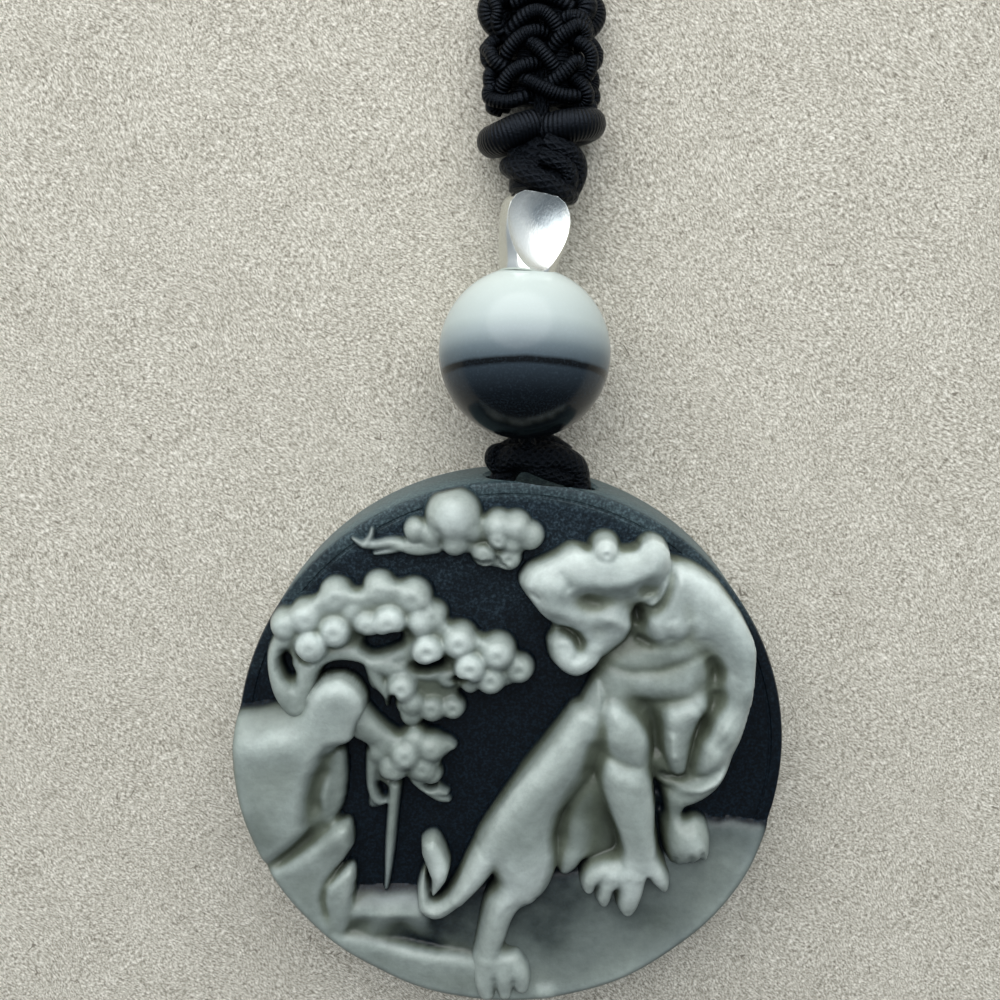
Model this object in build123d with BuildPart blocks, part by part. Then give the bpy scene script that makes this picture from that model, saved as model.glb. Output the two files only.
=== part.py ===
from build123d import *
from collections import namedtuple
import math
import os

# A carved stone pendant on a black cord, lying on its back. Millimetres, +Z up.
# The origin is the centre of the round stone's back face, the carving faces +Z,
# and the string of beads, the knots and the neck cord leave it towards +Y.

# Round stone
disc_diameter = 50.0
ground_height = 9.2
relief_depth = 4.4
skin_base = 8.6
rim_chamfer = 0.4
back_chamfer = 0.8
skin_inset = 0.6
relief_rings = 34

# Flat cut in the rim, and the curved hole that the hanging cord passes
hole_azimuth = 83.5
hole_height = 5.2
recess_width = 11.4
recess_depth = 1.5
recess_tall = 5.6
loop_radius = 3.6
loop_cord_diameter = 2.4
hole_clearance = 0.3

# Thread, beads and knots, from the round stone upwards
thread_diameter = 1.8
thread_clearance = 0.3
thread_end_depth = 2.0
loop_knot_radius = 1.7
piece_gap = 0.25
bead_diameter = 15.0
bead_offset = 1.2
bead_cord_gap = 0.45
silver_diameter = 6.4
silver_neck_diameter = 4.6
silver_length = 6.2
silver_seat_gap = 0.5
dish_radius = 4.4
dish_depth = 1.5
dish_turn = 18.0
collar_width = 7.6
collar_thickness = 5.8
collar_length = 2.8
ring_width = 10.8
ring_tall = 6.8
ring_length = 3.8
ring_rounding = 1.6
weave_width_low = 8.4
weave_width_high = 9.6
weave_thickness = 5.0
weave_length = 9.4
weave_rounding = 1.9
side_loop_diameter = 2.8
side_loops = 4
knots_offset = 2.7

# Neck cord, a closed loop laid flat
neck_cord_diameter = 4.4
neck_cord_spacing = 5.2
neck_lead = 20.0
cord_seat_gap = 0.1

disc_radius = disc_diameter / 2
skin_radius = disc_radius - skin_inset
hole_turn = math.radians(hole_azimuth)
recess_floor = disc_radius - recess_depth
loop_x = recess_floor * math.cos(hole_turn)
loop_y = recess_floor * math.sin(hole_turn)
loop_cord_radius = loop_cord_diameter / 2
thread_radius = thread_diameter / 2
thread_bore = thread_radius + thread_clearance
bead_radius = bead_diameter / 2
side_loop_radius = side_loop_diameter / 2
knot_x = loop_x - (loop_radius + loop_cord_radius) * math.cos(hole_turn) / 2
knot_y = loop_y + loop_radius
bead_y = loop_y + loop_radius + loop_cord_radius + bead_cord_gap + bead_radius

# Carving. Places and half-widths are shares of the disc's radius, counted from its
# centre towards +X and +Y. Heights are shares of relief_depth above the plain ground.
# A ridge runs from its first end to its second and is rounded across.
Ridge = namedtuple("Ridge", "x1 y1 r1 h1 x2 y2 r2 h2")
Ball = namedtuple("Ball", "x y r h")
Rock = namedtuple("Rock", "edge_width height outline")

tiger_ridges = [
    # head, from the nose to the back of the jaw
    Ridge(0.07, 0.66, 0.055, 0.82, 0.18, 0.70, 0.09, 0.92),
    Ridge(0.18, 0.70, 0.09, 0.92, 0.38, 0.69, 0.12, 1.00),
    Ridge(0.10, 0.60, 0.05, 0.80, 0.18, 0.56, 0.05, 0.80),
    Ridge(0.26, 0.59, 0.10, 0.84, 0.37, 0.52, 0.09, 0.92),
    Ridge(0.165, 0.46, 0.035, 0.72, 0.17, 0.38, 0.04, 0.78),
    Ridge(0.17, 0.38, 0.04, 0.78, 0.24, 0.35, 0.045, 0.78),
    Ridge(0.24, 0.35, 0.045, 0.78, 0.33, 0.42, 0.05, 0.78),
    Ridge(0.49, 0.77, 0.06, 1.00, 0.50, 0.58, 0.035, 0.95),
    # mane, shoulder and the long ridge of the back on the right
    Ridge(0.50, 0.62, 0.13, 0.88, 0.66, 0.56, 0.14, 0.92),
    Ridge(0.53, 0.50, 0.10, 0.84, 0.64, 0.40, 0.10, 0.84),
    Ridge(0.62, 0.65, 0.08, 0.94, 0.76, 0.54, 0.08, 0.95),
    Ridge(0.76, 0.54, 0.08, 0.95, 0.79, 0.40, 0.075, 0.95),
    Ridge(0.79, 0.40, 0.075, 0.95, 0.78, 0.24, 0.075, 0.95),
    Ridge(0.78, 0.24, 0.075, 0.95, 0.76, 0.06, 0.07, 0.92),
    Ridge(0.76, 0.06, 0.07, 0.92, 0.66, -0.17, 0.045, 0.80),
    # chest fur, narrowing to a tuft
    Ridge(0.54, 0.38, 0.15, 0.82, 0.58, 0.12, 0.11, 0.78),
    Ridge(0.58, 0.12, 0.11, 0.78, 0.59, -0.01, 0.035, 0.60),
    # trunk, from the shoulders down to the hips
    Ridge(0.38, 0.27, 0.13, 0.90, 0.24, -0.01, 0.14, 0.90),
    Ridge(0.24, -0.01, 0.14, 0.90, 0.08, -0.28, 0.14, 0.88),
    Ridge(0.08, -0.28, 0.14, 0.88, 0.04, -0.46, 0.12, 0.86),
    # near foreleg and its paw
    Ridge(0.42, 0.18, 0.12, 0.97, 0.46, -0.06, 0.105, 0.98),
    Ridge(0.46, -0.06, 0.105, 0.98, 0.47, -0.26, 0.085, 0.96),
    Ridge(0.47, -0.26, 0.085, 0.96, 0.47, -0.40, 0.07, 0.92),
    Ridge(0.47, -0.40, 0.08, 0.90, 0.42, -0.51, 0.09, 0.82),
    Ridge(0.40, -0.49, 0.06, 0.78, 0.30, -0.52, 0.04, 0.62),
    Ridge(0.42, -0.52, 0.06, 0.78, 0.37, -0.57, 0.04, 0.60),
    Ridge(0.43, -0.52, 0.06, 0.78, 0.45, -0.61, 0.04, 0.60),
    Ridge(0.47, -0.47, 0.06, 0.78, 0.57, -0.52, 0.04, 0.60),
    # far foreleg and its paw
    Ridge(0.62, -0.10, 0.07, 0.72, 0.62, -0.28, 0.055, 0.70),
    Ridge(0.63, -0.30, 0.06, 0.70, 0.69, -0.38, 0.075, 0.66),
    Ridge(0.69, -0.38, 0.07, 0.66, 0.66, -0.44, 0.04, 0.52),
    # thigh, shank and paw of the hind leg, and the other thigh behind it
    Ridge(0.06, -0.44, 0.12, 0.86, 0.03, -0.55, 0.10, 0.80),
    Ridge(0.03, -0.55, 0.10, 0.80, -0.06, -0.66, 0.065, 0.70),
    Ridge(-0.06, -0.66, 0.065, 0.70, -0.08, -0.76, 0.05, 0.62),
    Ridge(-0.08, -0.76, 0.05, 0.62, -0.03, -0.88, 0.085, 0.58),
    Ridge(0.16, -0.40, 0.07, 0.60, 0.23, -0.45, 0.06, 0.50),
    # tail, curling up from the hips
    Ridge(-0.05, -0.42, 0.04, 0.66, -0.12, -0.52, 0.035, 0.60),
    Ridge(-0.12, -0.52, 0.035, 0.60, -0.21, -0.61, 0.035, 0.58),
    Ridge(-0.21, -0.61, 0.035, 0.58, -0.29, -0.66, 0.035, 0.58),
    Ridge(-0.29, -0.66, 0.035, 0.58, -0.34, -0.61, 0.035, 0.58),
    Ridge(-0.34, -0.61, 0.035, 0.58, -0.33, -0.53, 0.035, 0.58),
    Ridge(-0.30, -0.33, 0.02, 0.56, -0.28, -0.42, 0.04, 0.60),
    Ridge(-0.28, -0.42, 0.04, 0.60, -0.29, -0.58, 0.025, 0.58),
]
tiger_balls = [
    Ball(0.33, 0.80, 0.036, 0.90),
    Ball(0.40, 0.51, 0.065, 0.92),
    Ball(0.26, 0.42, 0.07, 0.52),
]

pine_ridges = [
    # stems from the foot of the tree
    Ridge(-0.77, 0.18, 0.05, 0.70, -0.86, 0.32, 0.035, 0.70),
    Ridge(-0.86, 0.32, 0.035, 0.70, -0.82, 0.42, 0.035, 0.66),
    Ridge(-0.77, 0.18, 0.05, 0.70, -0.74, 0.34, 0.035, 0.66),
    Ridge(-0.74, 0.34, 0.035, 0.66, -0.58, 0.37, 0.03, 0.60),
    Ridge(-0.58, 0.37, 0.03, 0.60, -0.39, 0.27, 0.03, 0.56),
    Ridge(-0.49, 0.12, 0.03, 0.60, -0.36, 0.03, 0.03, 0.52),
    # masses that carry the balls of needles
    Ridge(-0.80, 0.48, 0.05, 0.55, -0.50, 0.53, 0.07, 0.58),
    Ridge(-0.50, 0.53, 0.07, 0.58, -0.28, 0.50, 0.07, 0.58),
    Ridge(-0.28, 0.48, 0.06, 0.58, -0.04, 0.36, 0.07, 0.52),
    Ridge(-0.39, 0.24, 0.05, 0.42, -0.20, 0.19, 0.035, 0.36),
    Ridge(-0.46, 0.00, 0.05, 0.42, -0.26, 0.02, 0.05, 0.42),
    # twigs and the hanging strand
    Ridge(-0.50, -0.06, 0.026, 0.34, -0.47, -0.18, 0.022, 0.30),
    Ridge(-0.33, -0.11, 0.026, 0.34, -0.24, -0.16, 0.024, 0.28),
    Ridge(-0.42, -0.10, 0.026, 0.36, -0.45, -0.40, 0.024, 0.30),
    Ridge(-0.45, -0.40, 0.024, 0.30, -0.46, -0.52, 0.015, 0.24),
]
pine_balls = [
    Ball(-0.80, 0.49, 0.054, 0.72),
    Ball(-0.72, 0.52, 0.056, 0.74),
    Ball(-0.70, 0.43, 0.058, 0.86),
    Ball(-0.62, 0.48, 0.056, 0.80),
    Ball(-0.61, 0.60, 0.056, 0.62),
    Ball(-0.50, 0.51, 0.050, 0.76),
    Ball(-0.46, 0.63, 0.050, 0.62),
    Ball(-0.43, 0.52, 0.058, 0.88),
    Ball(-0.34, 0.60, 0.058, 0.64),
    Ball(-0.32, 0.51, 0.052, 0.76),
    Ball(-0.30, 0.41, 0.058, 0.88),
    Ball(-0.18, 0.44, 0.056, 0.74),
    Ball(-0.14, 0.34, 0.056, 0.84),
    Ball(-0.05, 0.39, 0.058, 0.70),
    Ball(-0.07, 0.30, 0.050, 0.68),
    Ball(0.03, 0.35, 0.048, 0.54),
    Ball(-0.39, 0.27, 0.052, 0.72),
    Ball(-0.35, 0.21, 0.044, 0.60),
    Ball(-0.28, 0.19, 0.044, 0.52),
    Ball(-0.21, 0.19, 0.038, 0.46),
    Ball(-0.38, 0.00, 0.055, 0.70),
    Ball(-0.28, 0.03, 0.052, 0.60),
    Ball(-0.34, 0.07, 0.052, 0.60),
    Ball(-0.42, -0.05, 0.056, 0.58),
    Ball(-0.31, -0.05, 0.052, 0.52),
    Ball(-0.47, 0.01, 0.052, 0.46),
]

cloud_ridges = [
    Ridge(-0.33, 0.83, 0.040, 0.42, -0.20, 0.81, 0.050, 0.50),
    Ridge(-0.29, 0.76, 0.030, 0.40, -0.42, 0.79, 0.022, 0.34),
    Ridge(-0.42, 0.79, 0.022, 0.34, -0.53, 0.80, 0.014, 0.26),
    Ridge(-0.20, 0.81, 0.050, 0.50, -0.04, 0.82, 0.055, 0.50),
    Ridge(-0.04, 0.85, 0.060, 0.54, 0.07, 0.82, 0.045, 0.50),
    Ridge(-0.09, 0.74, 0.045, 0.46, 0.00, 0.73, 0.040, 0.44),
]
cloud_balls = [
    Ball(-0.20, 0.89, 0.092, 0.72),
    Ball(-0.05, 0.80, 0.035, 0.54),
]

hill_ridges = [
    Ridge(-0.56, -0.61, 0.05, 0.26, -0.38, -0.62, 0.05, 0.24),
    Ridge(-0.60, -0.69, 0.06, 0.30, -0.42, -0.74, 0.06, 0.30),
    Ridge(-0.42, -0.74, 0.06, 0.30, -0.20, -0.80, 0.06, 0.28),
    Ridge(0.72, -0.69, 0.06, 0.30, 0.44, -0.84, 0.06, 0.30),
]

rocks = [
    # high cliff at the left, its hollowed face, and the two rocks below it
    Rock(0.07, 0.84, [(-1.04, 0.17), (-0.82, 0.18), (-0.66, 0.29), (-0.58, 0.31), (-0.50, 0.27),
                      (-0.50, 0.21), (-0.57, 0.11), (-0.61, 0.02), (-0.71, -0.05), (-0.75, -0.17),
                      (-0.82, -0.36), (-1.04, -0.30)]),
    Rock(0.05, 0.44, [(-0.74, 0.02), (-0.59, -0.01), (-0.61, -0.18), (-0.67, -0.26), (-0.80, -0.30)]),
    Rock(0.06, 0.66, [(-1.04, -0.34), (-0.84, -0.38), (-0.60, -0.22), (-0.56, -0.32), (-0.61, -0.40),
                      (-0.72, -0.54), (-0.90, -0.62)]),
    Rock(0.06, 0.50, [(-0.92, -0.56), (-0.71, -0.53), (-0.57, -0.45), (-0.59, -0.57), (-0.63, -0.66),
                      (-0.76, -0.76)]),
    # low hills along the lower edge
    Rock(0.10, 0.20, [(-0.66, -0.54), (-0.30, -0.52), (0.02, -0.60), (0.06, -0.50), (0.40, -0.56),
                      (0.62, -0.42), (0.76, -0.26), (1.04, -0.28), (0.80, -0.90), (0.0, -1.10),
                      (-0.80, -0.80)]),
]

# Route of the neck cord: the right half from the weave's end to the top of the loop,
# then the left half back again, as the loop lies loosely on a table.
NeckPoint = namedtuple("NeckPoint", "x y")
neck_route = [
    NeckPoint(15.0, 119.0),
    NeckPoint(37.0, 151.0),
    NeckPoint(59.0, 185.0),
    NeckPoint(72.0, 224.0),
    NeckPoint(70.0, 265.0),
    NeckPoint(47.0, 299.0),
    NeckPoint(9.0, 315.0),
    NeckPoint(-31.0, 307.0),
    NeckPoint(-60.0, 279.0),
    NeckPoint(-69.0, 240.0),
    NeckPoint(-60.0, 200.0),
    NeckPoint(-42.0, 163.0),
    NeckPoint(-20.0, 130.0),
    NeckPoint(-5.0, 106.0),
]
arc_share = 0.45


def ridge_height(ridge, x, y):
    """Height share of a rounded ridge over the point, or 0 outside it."""
    dx = ridge.x2 - ridge.x1
    dy = ridge.y2 - ridge.y1
    along = ((x - ridge.x1) * dx + (y - ridge.y1) * dy) / (dx * dx + dy * dy)
    along = min(1.0, max(0.0, along))
    away = math.hypot(x - ridge.x1 - along * dx, y - ridge.y1 - along * dy)
    half_width = ridge.r1 + along * (ridge.r2 - ridge.r1)
    top = ridge.h1 + along * (ridge.h2 - ridge.h1)
    if away >= half_width:
        return 0.0
    return top * (1 - (away / half_width) ** 2) ** 0.4


def ball_height(ball, x, y):
    """Height share of a ball of needles, a round lump or the sun over the point."""
    away = math.hypot(x - ball.x, y - ball.y)
    if away >= ball.r:
        return 0.0
    return ball.h * (1 - (away / ball.r) ** 2) ** 0.4


def rock_height(rock, x, y):
    """Height share of a flat-topped rock with sloping edges over the point."""
    inside = False
    nearest = 9.0
    for index in range(len(rock.outline)):
        x1, y1 = rock.outline[index - 1]
        x2, y2 = rock.outline[index]
        if (y1 > y) != (y2 > y) and x < x1 + (x2 - x1) * (y - y1) / (y2 - y1):
            inside = not inside
        dx = x2 - x1
        dy = y2 - y1
        along = min(1.0, max(0.0, ((x - x1) * dx + (y - y1) * dy) / (dx * dx + dy * dy)))
        nearest = min(nearest, math.hypot(x - x1 - along * dx, y - y1 - along * dy))
    if not inside:
        return 0.0
    return rock.height * min(1.0, nearest / rock.edge_width) ** 0.5


def carving_height(x, y):
    """Height of the carved face above the back face at a place on the disc."""
    share_x = x / disc_radius
    share_y = y / disc_radius
    highest = 0.0
    for ridge in tiger_ridges + pine_ridges + cloud_ridges + hill_ridges:
        highest = max(highest, ridge_height(ridge, share_x, share_y))
    for ball in tiger_balls + pine_balls + cloud_balls:
        highest = max(highest, ball_height(ball, share_x, share_y))
    for rock in rocks:
        highest = max(highest, rock_height(rock, share_x, share_y))
    return ground_height + relief_depth * highest


def ring_points(ring):
    """Points of one ring of the carved skin: six for each ring out from the centre."""
    if ring == 0:
        return [Vector(0, 0, carving_height(0, 0))]
    radius = skin_radius * ring / relief_rings
    points = []
    for index in range(6 * ring):
        turn = 2 * math.pi * index / (6 * ring)
        x = radius * math.cos(turn)
        y = radius * math.sin(turn)
        points.append(Vector(x, y, carving_height(x, y)))
    return points


def triangle(a, b, c):
    return Face(Wire.make_polygon([a, b, c]))


def skin_faces():
    """The carved face as triangles between rings, with a wall down to skin_base."""
    faces = []
    inner = ring_points(0)
    for ring in range(1, relief_rings + 1):
        outer = ring_points(ring)
        for side in range(6):
            for step in range(ring):
                out_a = outer[side * ring + step]
                out_b = outer[(side * ring + step + 1) % len(outer)]
                in_a = inner[(side * (ring - 1) + step) % len(inner)]
                faces.append(triangle(in_a, out_a, out_b))
                if step < ring - 1:
                    in_b = inner[(side * (ring - 1) + step + 1) % len(inner)]
                    faces.append(triangle(in_a, out_b, in_b))
        inner = outer
    foot = [Vector(point.X, point.Y, skin_base) for point in outer]
    for index in range(len(outer)):
        after = (index + 1) % len(outer)
        faces.append(triangle(foot[index], foot[after], outer[after]))
        faces.append(triangle(foot[index], outer[after], outer[index]))
    return faces, foot


def carved_stone():
    """The round stone: a plain drilled body whose top face is replaced by the carving."""
    with BuildPart() as body:
        with BuildSketch(Plane.XY):
            Circle(disc_radius)
        extrude(amount=skin_base)
        chamfer(body.edges().group_by(Axis.Z)[0], length=back_chamfer)
        chamfer(body.edges().group_by(Axis.Z)[-1], length=rim_chamfer)
        # the flat cut in the rim, in the middle of the stone's thickness
        with BuildSketch(Plane.XY.offset(hole_height - recess_tall / 2)):
            with Locations(Location((0, 0), hole_azimuth)):
                with Locations((recess_floor + recess_depth, 0)):
                    Rectangle(2 * recess_depth, recess_width)
        extrude(amount=recess_tall, mode=Mode.SUBTRACT)
        # the curved hole, part of a ring that runs in and out of the cut
        with Locations((loop_x, loop_y, hole_height)):
            Torus(loop_radius, loop_cord_radius + hole_clearance, mode=Mode.SUBTRACT)
    top = body.faces().filter_by(Plane.XY).sort_by(Axis.Z)[-1]
    others = [face for face in body.faces() if not face.is_same(top)]
    carved, foot = skin_faces()
    collar = Face(top.outer_wire(), [Wire.make_polygon(foot)])
    with BuildPart() as stone:
        add(Solid(Shell(others + carved + [collar])))
    return stone


def run_rod(start, end, radius, mode=Mode.ADD):
    """A straight round rod between two points, inside the running part."""
    way = end - start
    with Locations(Plane(origin=start, z_dir=way.normalized())):
        Cylinder(radius, way.length, align=(Align.CENTER, Align.CENTER, Align.MIN), mode=mode)


def across(origin, way):
    """A plane across the thread, with its X to the right and its Y upwards."""
    return Plane(origin=origin, x_dir=Vector(1, 0, 0), z_dir=way)


# Places along the thread
weave_z = weave_thickness / 2 + cord_seat_gap
ring_z = ring_tall / 2 + cord_seat_gap
bead_place = Vector(bead_offset, bead_y, bead_radius)
bead_low = Vector(bead_offset, bead_y - bead_radius - thread_radius, bead_radius)
bead_high = Vector(bead_offset, bead_y + bead_radius + piece_gap / 2, bead_radius)
upper_length = silver_seat_gap + silver_length + collar_length + ring_length / 2 + 3 * piece_gap
upper_drop = bead_high.Z - ring_z
upper_shift = knots_offset - bead_high.X
upper_run = math.sqrt(upper_length ** 2 - upper_drop ** 2 - upper_shift ** 2)
ring_place = bead_high + Vector(upper_shift, upper_run, -upper_drop)
upper_way = (ring_place - bead_high).normalized()
silver_place = bead_high + upper_way * (silver_seat_gap + silver_length / 2)
collar_start = bead_high + upper_way * (silver_seat_gap + silver_length + piece_gap)
collar_end = ring_place - upper_way * ((ring_length / 2 + piece_gap) / upper_way.Y)
weave_start = Vector(knots_offset, ring_place.Y + ring_length / 2 + piece_gap, weave_z)
weave_end = weave_start + Vector(0, weave_length, 0)
thread_end = weave_end - Vector(0, thread_end_depth, 0)
loop_top = Vector(knot_x, knot_y, hole_height + loop_cord_radius / 2)

stone = carved_stone()
stone.part.label = "carved_disc"

with BuildPart() as hanging_cord:
    with Locations((loop_x, loop_y, hole_height)):
        Torus(loop_radius, loop_cord_radius)
    with Locations(Location(loop_top)):
        Sphere(loop_knot_radius)
    thread_points = [loop_top, bead_low, bead_high, ring_place, weave_start, thread_end]
    for first, second in zip(thread_points, thread_points[1:]):
        run_rod(first, second, thread_radius)
    for corner in thread_points[1:-1]:
        with Locations(Location(corner)):
            Sphere(thread_radius)
hanging_cord.part.label = "hanging_cord"

with BuildPart() as stone_bead:
    with Locations(Location(bead_place)):
        Sphere(bead_radius)
    run_rod(bead_low, bead_high, thread_bore, mode=Mode.SUBTRACT)
stone_bead.part.label = "stone_bead"

silver_plane = across(silver_place - upper_way * (silver_length / 2), upper_way)
with BuildPart() as silver_bead:
    with BuildSketch(Plane.XZ):
        with BuildLine():
            belly = ThreePointArc(
                (silver_neck_diameter / 2, 0),
                (silver_diameter / 2, silver_length * 0.5),
                (silver_neck_diameter / 2, silver_length),
            )
            Polyline(belly @ 1, (thread_bore, silver_length), (thread_bore, 0), belly @ 0)
        make_face()
    revolve(axis=Axis.Z)
    # the hollowed oval on its front, turned a little to the right
    with BuildPart(mode=Mode.PRIVATE) as dish:
        Sphere(dish_radius)
    dish_out = silver_diameter / 2 - dish_depth + dish_radius
    dish_side = math.radians(90 - dish_turn)
    add(
        dish.part.moved(Location((
            dish_out * math.cos(dish_side),
            dish_out * math.sin(dish_side),
            silver_length * 0.5,
        ))),
        mode=Mode.SUBTRACT,
    )
silver_bead.part.label = "silver_bead"
silver_bead.part = silver_plane.location * silver_bead.part

with BuildPart() as collar_wrap:
    for share, wide in [(0.0, 0.86), (0.5, 1.0), (1.0, 0.88)]:
        station = collar_start + (collar_end - collar_start) * share
        station_way = upper_way * (1 - share) + Vector(0, 1, 0) * share
        with BuildSketch(across(station, station_way)):
            Ellipse(collar_width * wide / 2, collar_thickness * wide / 2)
    loft()
    run_rod(bead_high, ring_place, thread_bore, mode=Mode.SUBTRACT)
collar_wrap.part.label = "collar_wrap"

with BuildPart() as wound_ring:
    with BuildSketch(across(ring_place - Vector(0, ring_length / 2, 0), Vector(0, 1, 0))):
        Ellipse(ring_width / 2, ring_tall / 2)
    extrude(amount=ring_length)
    fillet(wound_ring.edges(), radius=ring_rounding)
    run_rod(bead_high, ring_place + upper_way * ring_length, thread_bore, mode=Mode.SUBTRACT)
    run_rod(ring_place, weave_start * 2 - ring_place, thread_bore, mode=Mode.SUBTRACT)
wound_ring.part.label = "wound_ring"

with BuildPart() as woven_knot:
    for place, wide in [(weave_start, weave_width_low), (weave_end, weave_width_high)]:
        with BuildSketch(across(place, Vector(0, 1, 0))):
            RectangleRounded(wide - side_loop_radius, weave_thickness, weave_rounding)
    loft()
    # the loops that stand out along both sides
    for index in range(side_loops):
        along = side_loop_radius + index * (weave_length - side_loop_diameter) / (side_loops - 1)
        wide = weave_width_low + along / weave_length * (weave_width_high - weave_width_low)
        for side in (-1, 1):
            loop_out = side * (wide / 2 - side_loop_radius)
            with Locations(Location(weave_start + Vector(loop_out, along, 0))):
                Sphere(side_loop_radius)
    run_rod(weave_start, thread_end + Vector(0, thread_clearance, 0), thread_bore, mode=Mode.SUBTRACT)
woven_knot.part.label = "woven_knot"


def cord_path(points):
    """Straight runs joined by arcs that take a set share of the shorter run."""
    radii = []
    for before, corner, after in zip(points, points[1:], points[2:]):
        turn = math.radians((corner - before).get_angle(after - corner))
        shorter = min((corner - before).length, (after - corner).length)
        radii.append(arc_share * shorter / math.tan(turn / 2))
    print("neck cord radii:", [round(radius, 1) for radius in radii])
    return FilletPolyline(*points, radius=radii)


neck_z = neck_cord_diameter / 2 + cord_seat_gap
neck_y = weave_end.Y + cord_seat_gap
neck_right = Vector(knots_offset + neck_cord_spacing / 2, neck_y, neck_z)
neck_left = Vector(knots_offset - neck_cord_spacing / 2, neck_y, neck_z)
neck_points = [neck_right, neck_right + Vector(0, neck_lead, 0)]
neck_points += [Vector(point.x, point.y, neck_z) for point in neck_route]
neck_points += [neck_left + Vector(0, neck_lead, 0), neck_left]
with BuildPart() as neck_cord:
    with BuildLine() as neck_line:
        cord_path(neck_points)
    with BuildSketch(Plane(origin=neck_points[0], z_dir=neck_points[1] - neck_points[0])):
        Circle(neck_cord_diameter / 2)
    sweep(path=neck_line.wire())
neck_cord.part.label = "neck_cord"
neck_section = math.pi * neck_cord_diameter ** 2 / 4
print("neck cord length:", round(neck_line.wire().length, 1))
print("neck cord volume:", round(neck_cord.part.volume), "by section:",
      round(neck_section * neck_line.wire().length))

os.makedirs("parts", exist_ok=True)
export_step(stone.part, "parts/carved_disc.step")
export_step(hanging_cord.part, "parts/hanging_cord.step")
export_step(stone_bead.part, "parts/stone_bead.step")
export_step(silver_bead.part, "parts/silver_bead.step")
export_step(collar_wrap.part, "parts/collar_wrap.step")
export_step(wound_ring.part, "parts/wound_ring.step")
export_step(woven_knot.part, "parts/woven_knot.step")
export_step(neck_cord.part, "parts/neck_cord.step")
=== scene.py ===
# %% [markdown]
# A carved stone pendant on a black cord, dressed as a lesson in small steps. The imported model
# gives the frame: it says where the stone, the beads and the knots lie. Each cell below makes
# one piece or one finish of the real object, and says how and why it is made that way.

# %% Load the frame
import math
from collections import namedtuple

import bmesh
import bpy
import numpy as np
from mathutils import Matrix, Vector


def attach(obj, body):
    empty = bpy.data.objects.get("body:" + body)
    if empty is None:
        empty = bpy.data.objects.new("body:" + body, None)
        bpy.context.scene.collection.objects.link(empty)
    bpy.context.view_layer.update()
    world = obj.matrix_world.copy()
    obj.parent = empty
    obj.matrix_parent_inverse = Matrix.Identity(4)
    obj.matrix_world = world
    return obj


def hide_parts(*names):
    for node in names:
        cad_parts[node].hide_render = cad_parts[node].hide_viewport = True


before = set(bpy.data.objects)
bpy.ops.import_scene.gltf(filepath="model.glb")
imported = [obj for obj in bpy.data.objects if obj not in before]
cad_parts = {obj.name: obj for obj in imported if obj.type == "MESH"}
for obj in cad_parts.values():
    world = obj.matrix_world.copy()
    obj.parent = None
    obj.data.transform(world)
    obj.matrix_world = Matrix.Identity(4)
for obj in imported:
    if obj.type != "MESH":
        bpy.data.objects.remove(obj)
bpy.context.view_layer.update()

MM = 0.001
print("frame nodes:", sorted(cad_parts))

# %% [markdown]
# The photograph was taken from above with a phone held a little towards the neck cord, so the
# rim's upper wall shows. The camera stands where straight lines from the photograph's points
# meet the real sizes of the stone and the beads. Its lens follows from the same fit.

# %% Camera
CAMERA_PLACE = Vector((-0.95, 45.32, 117.10)) * MM
CAMERA_TILT = math.radians(-11.5)
CAMERA_LENS = 45.0
SENSOR_WIDTH = 36.0

camera_data = bpy.data.cameras.new("photo_camera")
camera_data.lens = CAMERA_LENS
camera_data.sensor_width = SENSOR_WIDTH
camera_data.sensor_fit = "HORIZONTAL"
camera_data.clip_start = MM
camera = bpy.data.objects.new("photo_camera", camera_data)
camera.location = CAMERA_PLACE
camera.rotation_euler = (CAMERA_TILT, 0.0, 0.0)
bpy.context.collection.objects.link(camera)
bpy.context.scene.camera = camera
print("camera at", [round(value / MM, 1) for value in camera.location], "mm")

# %% [markdown]
# Small things are easier to think of in millimetres, so every mesh is drawn in millimetres and
# brought to metres in one place, when it becomes an object. The object itself stays at the
# origin, unturned and unscaled, as the model's own pieces do.


# %% Mesh helpers
def finish_mesh(bm, name, smooth=True):
    """Turns a bmesh in millimetres into an object in metres at the origin."""
    bmesh.ops.recalc_face_normals(bm, faces=bm.faces)
    mesh = bpy.data.meshes.new(name)
    bm.to_mesh(mesh)
    bm.free()
    mesh.transform(Matrix.Scale(MM, 4))
    mesh.polygons.foreach_set("use_smooth", [smooth] * len(mesh.polygons))
    piece = bpy.data.objects.new(name, mesh)
    bpy.context.collection.objects.link(piece)
    return piece


def dress(piece, material, nodes):
    """Rides the piece on the one body, its finish and the nodes it replaces."""
    piece.data.materials.clear()
    piece.data.materials.append(material)
    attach(piece, "root")
    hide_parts(*nodes)
    triangles = sum(len(polygon.vertices) - 2 for polygon in piece.data.polygons)
    print(f"{piece.name}: {triangles} triangles")


# %% [markdown]
# A finish is a small network of nodes. One helper adds a node, sets its attributes and joins its
# inputs. A few short ones make what every finish needs: arithmetic, a change of range, noise, a
# colour ramp, a mix of two colours and a bump. Hex colours, which people read, are turned into
# the linear light that Blender mixes.


# %% Material helpers
def linear(hex_colour):
    """An sRGB hex colour as linear red, green, blue and alpha."""
    parts = [int(hex_colour[at:at + 2], 16) / 255 for at in (1, 3, 5)]
    bent = [part / 12.92 if part <= 0.04045 else ((part + 0.055) / 1.055) ** 2.4 for part in parts]
    return (*bent, 1.0)


def metres(lengths):
    """Lengths in millimetres as metres."""
    return tuple(length * MM for length in lengths)


def join(tree, target, inputs):
    """Gives a node's inputs, by name or number, their values or the sockets that feed them."""
    for name, value in inputs.items():
        if isinstance(value, bpy.types.NodeSocket):
            tree.links.new(value, target.inputs[name])
        else:
            target.inputs[name].default_value = value


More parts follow.
